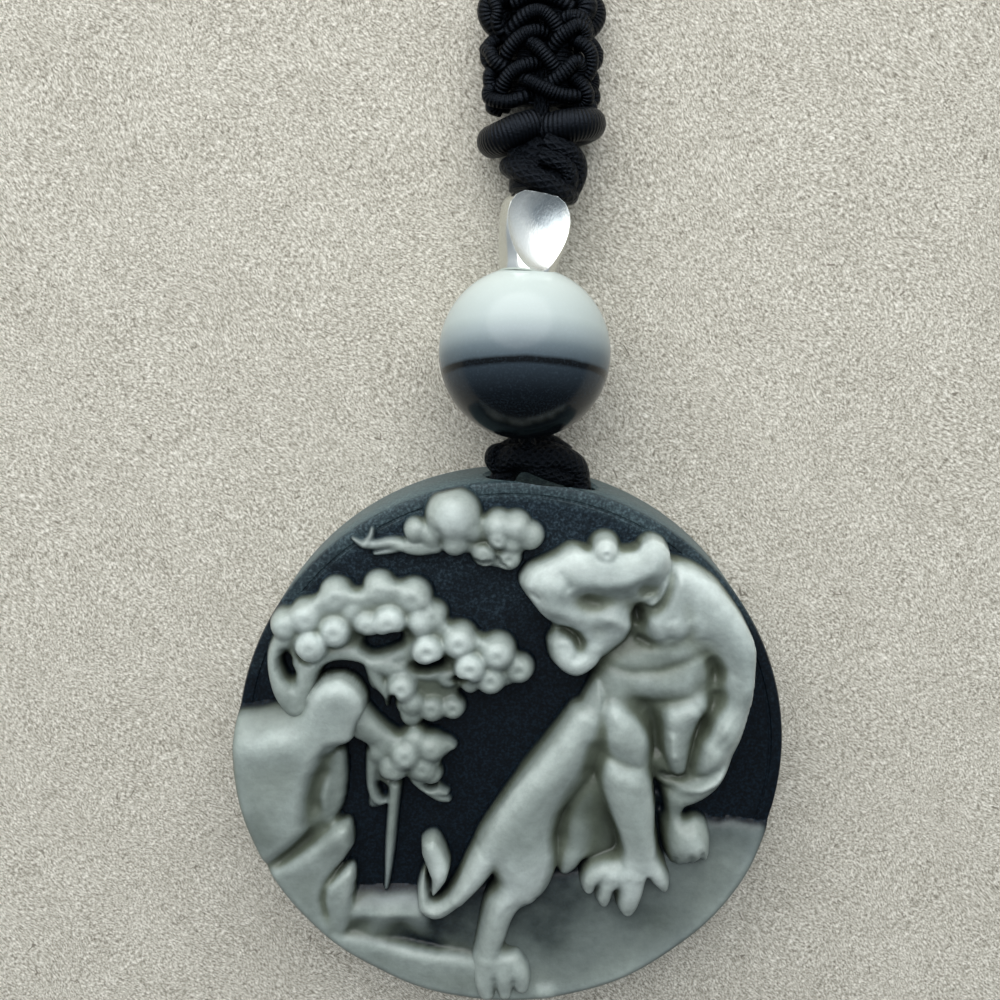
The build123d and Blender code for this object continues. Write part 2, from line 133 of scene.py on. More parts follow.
def node(tree, kind, settings=None, inputs=None):
    """Adds a node, sets its attributes and joins its inputs."""
    made = tree.nodes.new(kind)
    for name, value in (settings or {}).items():
        setattr(made, name, value)
    join(tree, made, inputs or {})
    return made


def maths(tree, operation, *terms):
    """One step of arithmetic on sockets or numbers."""
    return node(tree, "ShaderNodeMath", {"operation": operation}, dict(enumerate(terms))).outputs[0]


def vectors(tree, operation, *terms):
    """One step of arithmetic on places."""
    return node(tree, "ShaderNodeVectorMath", {"operation": operation}, dict(enumerate(terms))).outputs


def carry(tree, value, given=(0.0, 1.0), wanted=(0.0, 1.0), kind="LINEAR"):
    """Carries a value from the given range over to the wanted one and keeps it inside."""
    inputs = dict(enumerate((value, *given, *wanted)))
    return node(tree, "ShaderNodeMapRange", {"interpolation_type": kind}, inputs).outputs[0]


def noise(tree, place, scale, detail, roughness=0.5):
    """Soft noise of one size with finer detail in it."""
    inputs = {"Vector": place, "Scale": scale, "Detail": detail, "Roughness": roughness}
    return node(tree, "ShaderNodeTexNoise", None, inputs).outputs["Fac"]


def ramp(tree, factor, stops):
    """A colour ramp from (place, hex colour) rows."""
    made = node(tree, "ShaderNodeValToRGB", None, {"Fac": factor})
    elements = made.color_ramp.elements
    while len(elements) < len(stops):
        elements.new(0.5)
    for element, (place, hex_colour) in zip(elements, stops):
        element.position = place
        element.color = linear(hex_colour)
    return made.outputs["Color"]


def shades(tree, value, rows):
    """A colour ramp along a length, from (millimetres, hex colour) rows."""
    low, high = rows[0][0], rows[-1][0]
    share = carry(tree, value, metres((low, high)))
    return ramp(tree, share, [((at - low) / (high - low), tone) for at, tone in rows])


def mix(tree, share, first, second, blend="MIX"):
    """Two colours mixed by a share, or multiplied or added."""
    settings = {"data_type": "RGBA", "blend_type": blend}
    return node(tree, "ShaderNodeMix", settings, {0: share, 6: first, 7: second}).outputs[2]


def bump(tree, height, strength, reach, under=None):
    """Bends the light as a relief of some reach in millimetres would, on top of another bump."""
    inputs = {"Height": height, "Strength": strength, "Distance": reach * MM}
    if under is not None:
        inputs["Normal"] = under
    return node(tree, "ShaderNodeBump", None, inputs).outputs["Normal"]


def new_finish(name):
    """A material, its nodes, its surface shader and the object's own coordinates."""
    finish = bpy.data.materials.new(name)
    finish.use_nodes = True
    tree = finish.node_tree
    place = node(tree, "ShaderNodeTexCoord").outputs["Object"]
    return finish, tree, tree.nodes["Principled BSDF"], place


# %% [markdown]
# The stone is a soft, waxy two-layer rock, such as the inkstone rock that is carved for its
# colours: a pale grey-green layer lies on a dark navy one, and the carver cuts the picture from
# the upper layer and polishes by hand to a satin. The colour therefore depends first on depth,
# with a soft cloudy border where the two layers meet; the depth colour also holds a painted
# highlight at the height of the pine's clusters and painted shade on the highest tops. Painted
# shade, a little olive, darkens the hollows and leaves the rounded tops lighter as a painted
# highlight, and painted shade dulls the pale layer across the middle of the disc. The dark
# ground carries a painted sheen towards the cord and at its far border, and the disc's side is
# lighter. The scraper leaves a soft unevenness in the pale layer, and a little light goes into
# it.

# %% Stone finish
LAYER_BORDER = 9.72
LAYER_SOFTNESS = 0.4
LAYER_WANDER = 0.14
CLOUD_SCALE = 300.0
GRAIN_SCALE = 4200.0
MOTTLE_SCALE = 900.0
SCRAPE_SCALE = 1100.0
STONE_GLOW = (1.0, 1.0, 0.9)
GRAIN_PLACES = (0.34, 0.52, 0.68)
DEEP_TONES = ("#04080C", "#081017", "#111D26")
# painted sheen of the window's light on the dark ground towards the cord
PAINTED_SHEEN_TONES = ("#0E171D", "#1B272F", "#34434C")
# tones of the disc's lighter side, used also for the painted sheen on the face's far border
SIDE_AND_BORDER_SHEEN_TONES = ("#35444A", "#455658", "#5F7173")
PAINTED_SHEEN_SPAN = (20.0, 38.0)
PAINTED_SHEEN_DRIFT = 26.0
BORDER_SPAN = (23.2, 24.0)
BORDER_SHARE = 0.45
WALL_SPAN = (8.9, 8.5)
# colour by depth: the pale layer is darker where it lies thin over the dark one; the lighter band near 12.5
# mm is a painted highlight on the tops of the pine's clusters and the sun, and the highest tops, such as
# the tiger's brow, are darkened as painted shade
DEPTH_TONES_AND_PAINTED_LIGHT = [
    (9.4, "#3F4A4E"), (9.75, "#66706E"), (10.1, "#767F7D"), (10.7, "#8E9791"),
    (11.8, "#98A19B"), (12.5, "#B8C1BC"), (13.2, "#ACB5B0"), (14.1, "#8E9894"),
]
# painted shade: the pale layer is duller across the middle of the disc, round the tiger's chest and legs,
# than near its ends
PAINTED_SHADE_ALONG_LENGTH = [
    (-25.0, "#FFFFFF"), (-10.5, "#FFFFFF"), (-7.5, "#DADCDA"),
    (2.0, "#DDDFDD"), (11.0, "#FBFCFC"), (20.0, "#FFFFFF"),
]
# painted shade, darkest in the deepest hollows and mild on flat places, so rounded tops stay lighter as a
# painted highlight
PAINTED_HOLLOW_SHADE_STOPS = [
    (0.1, "#FFFFFF"), (0.38, "#E8EAEA"), (0.5, "#D6D8D4"), (0.64, "#B4B6A8"), (0.95, "#8C8D7C"),
]


def dark_layer(tree, place, axes, clouds, grains):
    """The speckled dark stone, with a painted sheen towards the cord and at the far border, and lighter on
    the wall.
    """
    deep, painted_sheen, side = (ramp(tree, grains, list(zip(GRAIN_PLACES, tones)))
                          for tones in (DEEP_TONES, PAINTED_SHEEN_TONES, SIDE_AND_BORDER_SHEEN_TONES))
    # painted sheen towards the cord, its edge bent by the clouds
    drifted = maths(tree, "MULTIPLY_ADD", clouds, PAINTED_SHEEN_DRIFT * MM, axes["Y"])
    sheen_towards_cord = carry(tree, drifted, metres(PAINTED_SHEEN_SPAN), kind="SMOOTHSTEP")
    flat = vectors(tree, "MULTIPLY", place, (1.0, 1.0, 0.0))["Vector"]
    reach = vectors(tree, "LENGTH", flat)["Value"]
    # painted sheen on the face's far border, towards the cord
    border = carry(tree, reach, metres(BORDER_SPAN), (0.0, BORDER_SHARE))
    far_border_sheen = maths(tree, "MULTIPLY", border, sheen_towards_cord)
    wall = carry(tree, axes["Z"], metres(WALL_SPAN))
    side_and_border_sheen_share = maths(tree, "MAXIMUM", far_border_sheen, wall)
    return mix(tree, side_and_border_sheen_share, mix(tree, sheen_towards_cord, deep, painted_sheen), side)


def pale_layer(tree, place, axes, depth):
    """The pale stone by depth, with painted light in its depth colour, painted shade along its length and
    in its hollows, and a faint mottle.
    """
    # the depth colour, with painted light in it, times the painted shade along the disc's length
    depth_tone_and_painted_light = mix(tree, 1.0, shades(tree, depth, DEPTH_TONES_AND_PAINTED_LIGHT),
                     shades(tree, axes["Y"], PAINTED_SHADE_ALONG_LENGTH), "MULTIPLY")
    # how sunken each place is, kept on the mesh, drives the painted shade in hollows
    hollow = node(tree, "ShaderNodeAttribute", {"attribute_name": "hollow"}).outputs["Fac"]
    sunk = carry(tree, hollow, (-0.9, 0.9))
    tone_and_painted_light = mix(tree, 1.0, depth_tone_and_painted_light, ramp(tree, sunk, PAINTED_HOLLOW_SHADE_STOPS), "MULTIPLY")
    mottle = noise(tree, place, MOTTLE_SCALE, 6.0, 0.7)
    return mix(tree, 1.0, tone_and_painted_light, carry(tree, mottle, (0.25, 0.75), (0.82, 1.16)), "MULTIPLY")


def carved_stone_finish():
    """The dark and the pale layer, joined by depth, with grains and scraper marks."""
    finish, tree, shader, place = new_finish("two_layer_soapstone")
    axes = node(tree, "ShaderNodeSeparateXYZ", None, {0: place}).outputs
    # a noise's scale is its features per metre: these clouds, 3 to 4 mm wide, bend the border
    # between the layers up and down
    clouds = noise(tree, place, CLOUD_SCALE, 4.0, 0.55)
    wander = carry(tree, clouds, (0.3, 0.7), metres((-LAYER_WANDER, LAYER_WANDER)))
    depth = maths(tree, "ADD", axes["Z"], wander)
    meeting = metres((LAYER_BORDER - LAYER_SOFTNESS, LAYER_BORDER + LAYER_SOFTNESS))
    layer = carry(tree, depth, meeting, kind="SMOOTHSTEP")
    # grains about 0.2 mm wide speckle the dark layer
    grains = noise(tree, place, GRAIN_SCALE, 2.0)
    dark = dark_layer(tree, place, axes, clouds, grains)
    pale = pale_layer(tree, place, axes, depth)
    # the strokes of the scraper are about 1 mm wide, and only the pale layer shows them
    scrapes = maths(tree, "MULTIPLY", noise(tree, place, SCRAPE_SCALE, 3.0, 0.6), layer)
    join(tree, shader, {
        "Base Color": mix(tree, layer, dark, pale),
        "Normal": bump(tree, scrapes, 0.5, 0.12, bump(tree, grains, 0.10, 0.05)),
        "Specular IOR Level": carry(tree, layer, wanted=(0.2, 0.42)),
        "Roughness": 0.40,
        "IOR": 1.5,
        "Subsurface Weight": 0.15,
        "Subsurface Radius": STONE_GLOW,
        "Subsurface Scale": 0.4 * MM,
    })
    return finish


stone_finish = carved_stone_finish()
print("stone layers meet", LAYER_BORDER, "mm above the back")

# %% [markdown]
# The plain body of the pendant is a turned disc: a flat back with a small bevel, an upright
# rim, and a fine step just inside the front edge. A profile spun round the middle gives all of
# that at once. The scooped recess for the cord and the curved hole are then taken out of it
# with boolean cutters, because they cross the round form and need crisp edges.

# %% Ground stone
DISC_RADIUS = 25.0
GROUND = 9.2
FOOT = 8.9
SPIN_STEPS = 192
WELD = 0.0005
HOLE_AZIMUTH = math.radians(83.5)
HOLE_HEIGHT = 5.2
RECESS_DEPTH = 1.5
SCOOP_HALVES = Vector((2.5, 6.9, 4.5))
LOOP_RADIUS = 3.6
LOOP_HOLE_RADIUS = 1.5
RimPoint = namedtuple("RimPoint", "radius height")
disc_profile = [RimPoint(*row) for row in (
    (0.0, 0.0), (DISC_RADIUS - 0.9, 0.0), (DISC_RADIUS - 0.3, 0.25), (DISC_RADIUS, 0.9),
    (DISC_RADIUS, 5.0), (DISC_RADIUS, GROUND - 0.35), (DISC_RADIUS - 0.12, GROUND - 0.1),
    (DISC_RADIUS - 0.4, GROUND), (DISC_RADIUS - 1.0, GROUND), (DISC_RADIUS - 1.1, GROUND - 0.1),
    (DISC_RADIUS - 1.25, GROUND - 0.1), (DISC_RADIUS - 1.35, GROUND), (0.0, GROUND),
)]


def spin_profile(bm, profile, steps):
    """Spins a profile of (radius, height) points into a closed turned form."""
    ring = [bm.verts.new((point.radius, 0, point.height)) for point in profile]
    edges = [bm.edges.new(pair) for pair in zip(ring, ring[1:])]
    spin_round(bm, ring + edges, steps)


def spin_round(bm, section, steps):
    """Spins a section once round the upright axis and welds the seam."""
    bmesh.ops.spin(bm, geom=section, cent=(0, 0, 0), axis=(0, 0, 1), angle=2 * math.pi,
                   steps=steps, use_merge=True)
    bmesh.ops.remove_doubles(bm, verts=bm.verts, dist=WELD)


def cut_away(piece, cutter):
    """Takes the cutter out of the piece and throws the cutter away."""
    cut = piece.modifiers.new("cut", "BOOLEAN")
    cut.object = cutter
    cut.solver = "EXACT"
    apply_modifiers(piece)
    bpy.data.objects.remove(cutter)


def apply_modifiers(piece):
    """Writes the modifiers' result into the mesh itself."""
    seen = piece.evaluated_get(bpy.context.evaluated_depsgraph_get())
    result = bpy.data.meshes.new_from_object(seen)
    piece.modifiers.clear()
    piece.data = result


def shade_by_angle(piece, degrees):
    """Shades the piece smooth but for the edges that bend by more than the angle."""
    piece.data.polygons.foreach_set("use_smooth", [True] * len(piece.data.polygons))
    piece.data.set_sharp_from_angle(angle=math.radians(degrees))


LOOP_REACH = DISC_RADIUS - RECESS_DEPTH
LOOP_CENTRE = Vector((LOOP_REACH * math.cos(HOLE_AZIMUTH), LOOP_REACH * math.sin(HOLE_AZIMUTH),
                      HOLE_HEIGHT))


def make_ground_stone():
    """The turned disc with the scoop and the curved hole taken out of it."""
    bm = bmesh.new()
    spin_profile(bm, disc_profile, SPIN_STEPS)
    piece = finish_mesh(bm, "ground_stone")
    # the scooped recess in the rim
    bm = bmesh.new()
    outwards = Vector((math.cos(HOLE_AZIMUTH), math.sin(HOLE_AZIMUTH), 0))
    reach = LOOP_REACH + SCOOP_HALVES.x
    place = Matrix.Translation(outwards * reach + Vector((0, 0, HOLE_HEIGHT)))
    turn = Matrix.Rotation(HOLE_AZIMUTH, 4, "Z")
    bmesh.ops.create_uvsphere(bm, u_segments=96, v_segments=64, radius=1.0,
                              matrix=place @ turn @ Matrix.Diagonal((*SCOOP_HALVES, 1)))
    cut_away(piece, finish_mesh(bm, "scoop_cutter"))
    # the curved hole is part of a ring of cord-sized section
    bm = bmesh.new()
    aside = Matrix.Translation((LOOP_RADIUS, 0, 0)) @ Matrix.Rotation(math.pi / 2, 4, "X")
    made = bmesh.ops.create_circle(bm, segments=24, radius=LOOP_HOLE_RADIUS, matrix=aside)
    edges = list({edge for vert in made["verts"] for edge in vert.link_edges})
    spin_round(bm, made["verts"] + edges, 64)
    bmesh.ops.translate(bm, verts=bm.verts, vec=LOOP_CENTRE)
    cut_away(piece, finish_mesh(bm, "hole_cutter"))
    shade_by_angle(piece, 35)
    dress(piece, stone_finish, ["carved_disc"])


make_ground_stone()

# %% [markdown]
# A carver works a relief from above: every place of the picture has one height, and the skill is
# in how the heights flow. So the carving is worked out as heights too. A body is a form, a trail
# or a ball. A form is an outline with a few height spots, rounded down at its edge. A trail is a
# round-topped limb, toe or twig that winds through a few nodes. Bodies are joined by a soft
# maximum, which leaves the melted creases of polished stone. Strokes then cut grooves, where
# their depth is below zero, or raise ridges along short lines.

# %% Carving helpers
Ball = namedtuple("Ball", "x y top r dimple")
Trail = namedtuple("Trail", "nodes")
Form = namedtuple("Form", "outline edge spots")
Stroke = namedtuple("Stroke", "width depth points")
FAR = 1e9
WALL = 5.0
DOME_LIMIT = 0.95
SPOT_SOFTNESS = 1.2
FADE_SHARE = 0.25


def smooth_max(low, high, softness):
    """The higher of two heights, with a fillet as wide as the softness where they meet."""
    blend = np.maximum(softness - np.abs(low - high), 0.0)
    return np.maximum(low, high) + blend * blend / (4 * softness)


def segment_distance(x, y, start, stop):
    """Distance to a straight piece, and how far along it the nearest point lies."""
    dx, dy = stop[0] - start[0], stop[1] - start[1]
    share = ((x - start[0]) * dx + (y - start[1]) * dy) / max(dx * dx + dy * dy, 1e-9)
    share = np.clip(share, 0.0, 1.0)
    return np.hypot(x - start[0] - share * dx, y - start[1] - share * dy), share


def dome_height(ratio, radius, top):
    """A round top that ends in a steep side, by the share of the radius from its middle."""
    dome = np.sqrt(1.0 - np.minimum(ratio, DOME_LIMIT) ** 2)
    return top - radius * (1.0 - dome) - WALL * radius * np.maximum(ratio - DOME_LIMIT, 0.0)


def ball_height(x, y, ball):
    """A round ball with a small dimple on its top."""
    away = np.hypot(x - ball.x, y - ball.y)
    height = dome_height(away / ball.r, ball.r, ball.top)
    return height - ball.dimple * np.exp(-(away / (0.3 * ball.r)) ** 2)


def trail_height(x, y, trail):
    """A smooth winding limb through a few nodes, each a place, a top height and a radius."""
    line = np.array(trail.nodes, float)
    for _ in range(3):
        cut = np.stack([0.75 * line[:-1] + 0.25 * line[1:], 0.25 * line[:-1] + 0.75 * line[1:]], axis=1)
        line = np.concatenate([line[:1], cut.reshape(-1, 4), line[-1:]])
    ratio = np.full(x.shape, FAR)
    radius = np.ones(x.shape)
    top = np.full(x.shape, FOOT)
    for start, stop in zip(line, line[1:]):
        away, share = segment_distance(x, y, start, stop)
        own_radius = start[3] + (stop[3] - start[3]) * share
        closer = away / own_radius < ratio
        ratio = np.where(closer, away / own_radius, ratio)
        radius = np.where(closer, own_radius, radius)
        top = np.where(closer, start[2] + (stop[2] - start[2]) * share, top)
    return dome_height(ratio, radius, top)


def rounded(points):
    """A closed outline with its corners cut twice over, which rounds them."""
    line = np.array(points, float)
    for _ in range(2):
        after = np.roll(line, -1, axis=0)
        line = np.stack([0.8 * line + 0.2 * after, 0.2 * line + 0.8 * after], axis=1).reshape(-1, 2)
    return line


def depth_inside(x, y, outline):
    """How far a point lies inside a closed outline, below zero when outside."""
    line = rounded(outline)
    nearest = np.full(x.shape, FAR)
    inside = np.zeros(x.shape, bool)
    for start, stop in zip(line, np.roll(line, -1, axis=0)):
        away, _ = segment_distance(x, y, start, stop)
        nearest = np.minimum(nearest, away)
        if start[1] != stop[1]:
            crosses = (start[1] > y) != (stop[1] > y)
            meets = start[0] + (y - start[1]) * (stop[0] - start[0]) / (stop[1] - start[1])
            inside ^= crosses & (x < meets)
    return np.where(inside, nearest, -nearest)


def spot_surface(x, y, spots):
    """The smooth surface through a few height spots."""
    rows = np.array(spots, float)
    apart = np.hypot(rows[:, None, 0] - rows[None, :, 0], rows[:, None, 1] - rows[None, :, 1])
    middle = rows[:, 2].mean()
    weights = np.linalg.solve(np.sqrt(apart ** 2 + SPOT_SOFTNESS ** 2), rows[:, 2] - middle)
    surface = np.full(x.shape, middle)
    for (spot_x, spot_y, _), weight in zip(rows, weights):
        surface += weight * np.sqrt((x - spot_x) ** 2 + (y - spot_y) ** 2 + SPOT_SOFTNESS ** 2)
    return surface


def form_height(x, y, form):
    """A body whose skin goes through its spots and rounds down to its outline."""
    inside = depth_inside(x, y, form.outline)
    rise = np.clip(inside / form.edge, 0.0, 1.0)
    swell = np.sqrt(1.0 - (1.0 - rise) ** 2)
    skin = spot_surface(x, y, form.spots)
    drop = np.minimum(skin - GROUND, form.edge)
    beyond = WALL * np.maximum(-inside, 0.0)
    return skin - drop * (1.0 - swell) - beyond - (skin - GROUND - drop) * (inside < 0)


def stroke_height(x, y, stroke):
    """A groove or a ridge along a line, fading out at both its ends."""
    points = np.array(stroke.points, float)
    lengths = np.hypot(*np.diff(points, axis=0).T)
    total = lengths.sum()
    nearest = np.full(x.shape, FAR)
    place = np.zeros(x.shape)
    run = 0.0
    for start, stop, length in zip(points, points[1:], lengths):
        away, share = segment_distance(x, y, start, stop)
        closer = away < nearest
        nearest = np.where(closer, away, nearest)
        place = np.where(closer, (run + share * length) / total, place)
        run += length
    fade = np.clip(np.minimum(place, 1.0 - place) / FADE_SHARE, 0.0, 1.0)
    fade = 0.25 + 0.75 * fade * fade * (3 - 2 * fade)
    return stroke.depth * fade * np.exp(-(nearest / stroke.width) ** 2)


def carve(x, y, bodies, strokes, softness):
    """The highest of all bodies, softly joined, with the strokes cut into it."""
    own_height = {Form: form_height, Ball: ball_height, Trail: trail_height}
    height = np.full(x.shape, FOOT - 1.0)
    for body in bodies:
        height = smooth_max(height, own_height[type(body)](x, y, body), softness)
    for stroke in strokes:
        height = height + stroke_height(x, y, stroke)
    return height


# %% [markdown]
# The heights are laid on a fine grid of faces. What lies on the ground is dropped, the skin is
# relaxed a little so that steep sides get even faces, and the rim of the skin is closed below
# the ground's surface, where the stone disc hides it. Each point also keeps how far it lies
# below its surroundings, which the finish uses for painted shade in hollows and a painted
# highlight on rounded tops.

# %% Relief builder
RIM_EDGE = 0.5
GROUND_FILLET = 0.5
RIM_RADIUS = DISC_RADIUS - 0.05
Patch = namedtuple("Patch", "left right low high step softness smoothing")


def to_rim(x, y, height):
    """Rounds the heights down at the disc's rim, where the carving ends flush with it."""
    inside = RIM_RADIUS - np.hypot(x, y)
    rise = np.clip(inside / RIM_EDGE, 0.0, 1.0)
    return height - RIM_EDGE * (1.0 - np.sqrt(1.0 - (1.0 - rise) ** 2)) * (height > GROUND)


def blur(values, reach):
    """The values of a grid, each averaged with its neighbours within a soft reach of some cells."""
    weights = np.exp(-0.5 * (np.arange(-3 * reach, 3 * reach + 1) / reach) ** 2)
    weights /= weights.sum()

    def blur_row(row):
        return np.convolve(np.pad(row, 3 * reach, mode="edge"), weights, "valid")

    for axis in (0, 1):
        values = np.apply_along_axis(blur_row, axis, values)
    return values


def sunkenness(rows, step):
    """How far each place of a grid lies below its surroundings, near by and farther off."""
    base = blur(rows, round(0.25 / step))
    near, far = (np.clip(blur(rows, round(reach / step)) - base, -0.6, 0.6) for reach in (0.6, 1.8))
    return (near * 1.2 + far * 0.5).ravel()


def make_relief(name, patch, bodies, strokes):
    """Carves the bodies and strokes on a patch of the disc's face and dresses the piece."""
    bm = bmesh.new()
    wide, tall = patch.right - patch.left, patch.high - patch.low
    middle = Vector(((patch.left + patch.right) / 2, (patch.low + patch.high) / 2, 0))
    columns, lines = int(wide / patch.step), int(tall / patch.step)
    place = Matrix.Translation(middle) @ Matrix.Diagonal((wide, tall, 1, 1))
    bmesh.ops.create_grid(bm, x_segments=columns, y_segments=lines, size=0.5, matrix=place)
    x, y = np.array([vert.co[:2] for vert in bm.verts]).T
    raw = carve(x, y, bodies, strokes, patch.softness)
    height = to_rim(x, y, smooth_max(raw, np.full(x.shape, GROUND - 0.1), GROUND_FILLET))
    # how sunken each place is, kept for the finish's painted shade in hollows
    hollow = bm.verts.layers.float.new("hollow")
    sunken = sunkenness(height.reshape(-1, columns + 1), patch.step)
    for vert, high, low, sunk in zip(bm.verts, height, raw, sunken):
        vert.co.z = high
        vert.tag = low < GROUND - 0.5
        vert[hollow] = sunk
    spare = [face for face in bm.faces if all(vert.tag for vert in face.verts)]
    bmesh.ops.delete(bm, geom=spare, context="FACES")
    outside = [face for face in bm.faces
               if min(math.hypot(*vert.co[:2]) for vert in face.verts) > DISC_RADIUS]
    bmesh.ops.delete(bm, geom=outside, context="FACES")
    for _ in range(patch.smoothing):
        bmesh.ops.smooth_vert(bm, verts=bm.verts, factor=0.5,
                              use_axis_x=True, use_axis_y=True, use_axis_z=True)
    for vert in bm.verts:
        reach = math.hypot(vert.co.x, vert.co.y)
        if reach > RIM_RADIUS:
            vert.co.xy *= RIM_RADIUS / reach
    rim = [edge for edge in bm.edges if edge.is_boundary]
    made = bmesh.ops.extrude_edge_only(bm, edges=rim)
    for item in made["geom"]:
        if isinstance(item, bmesh.types.BMVert):
            item.co.z = FOOT - 0.3
    bmesh.ops.holes_fill(bm, edges=[edge for edge in bm.edges if edge.is_boundary], sides=0)
    dress(finish_mesh(bm, name), stone_finish, ["carved_disc"])


# %% [markdown]
# The tiger climbs with its back to the right and its head turned to the left. Its bodies are
# the back with the chest and the mane, the flank with the hind leg, the belly, both forelegs,
# the tail, and the head with its curl and lower jaw. Each toe is a trail of its own. The strokes
# then raise the brow, the cheek, the lobes of the chest and the shoulder, and cut the mouth, the
# folds of skin and the gaps between the toes.

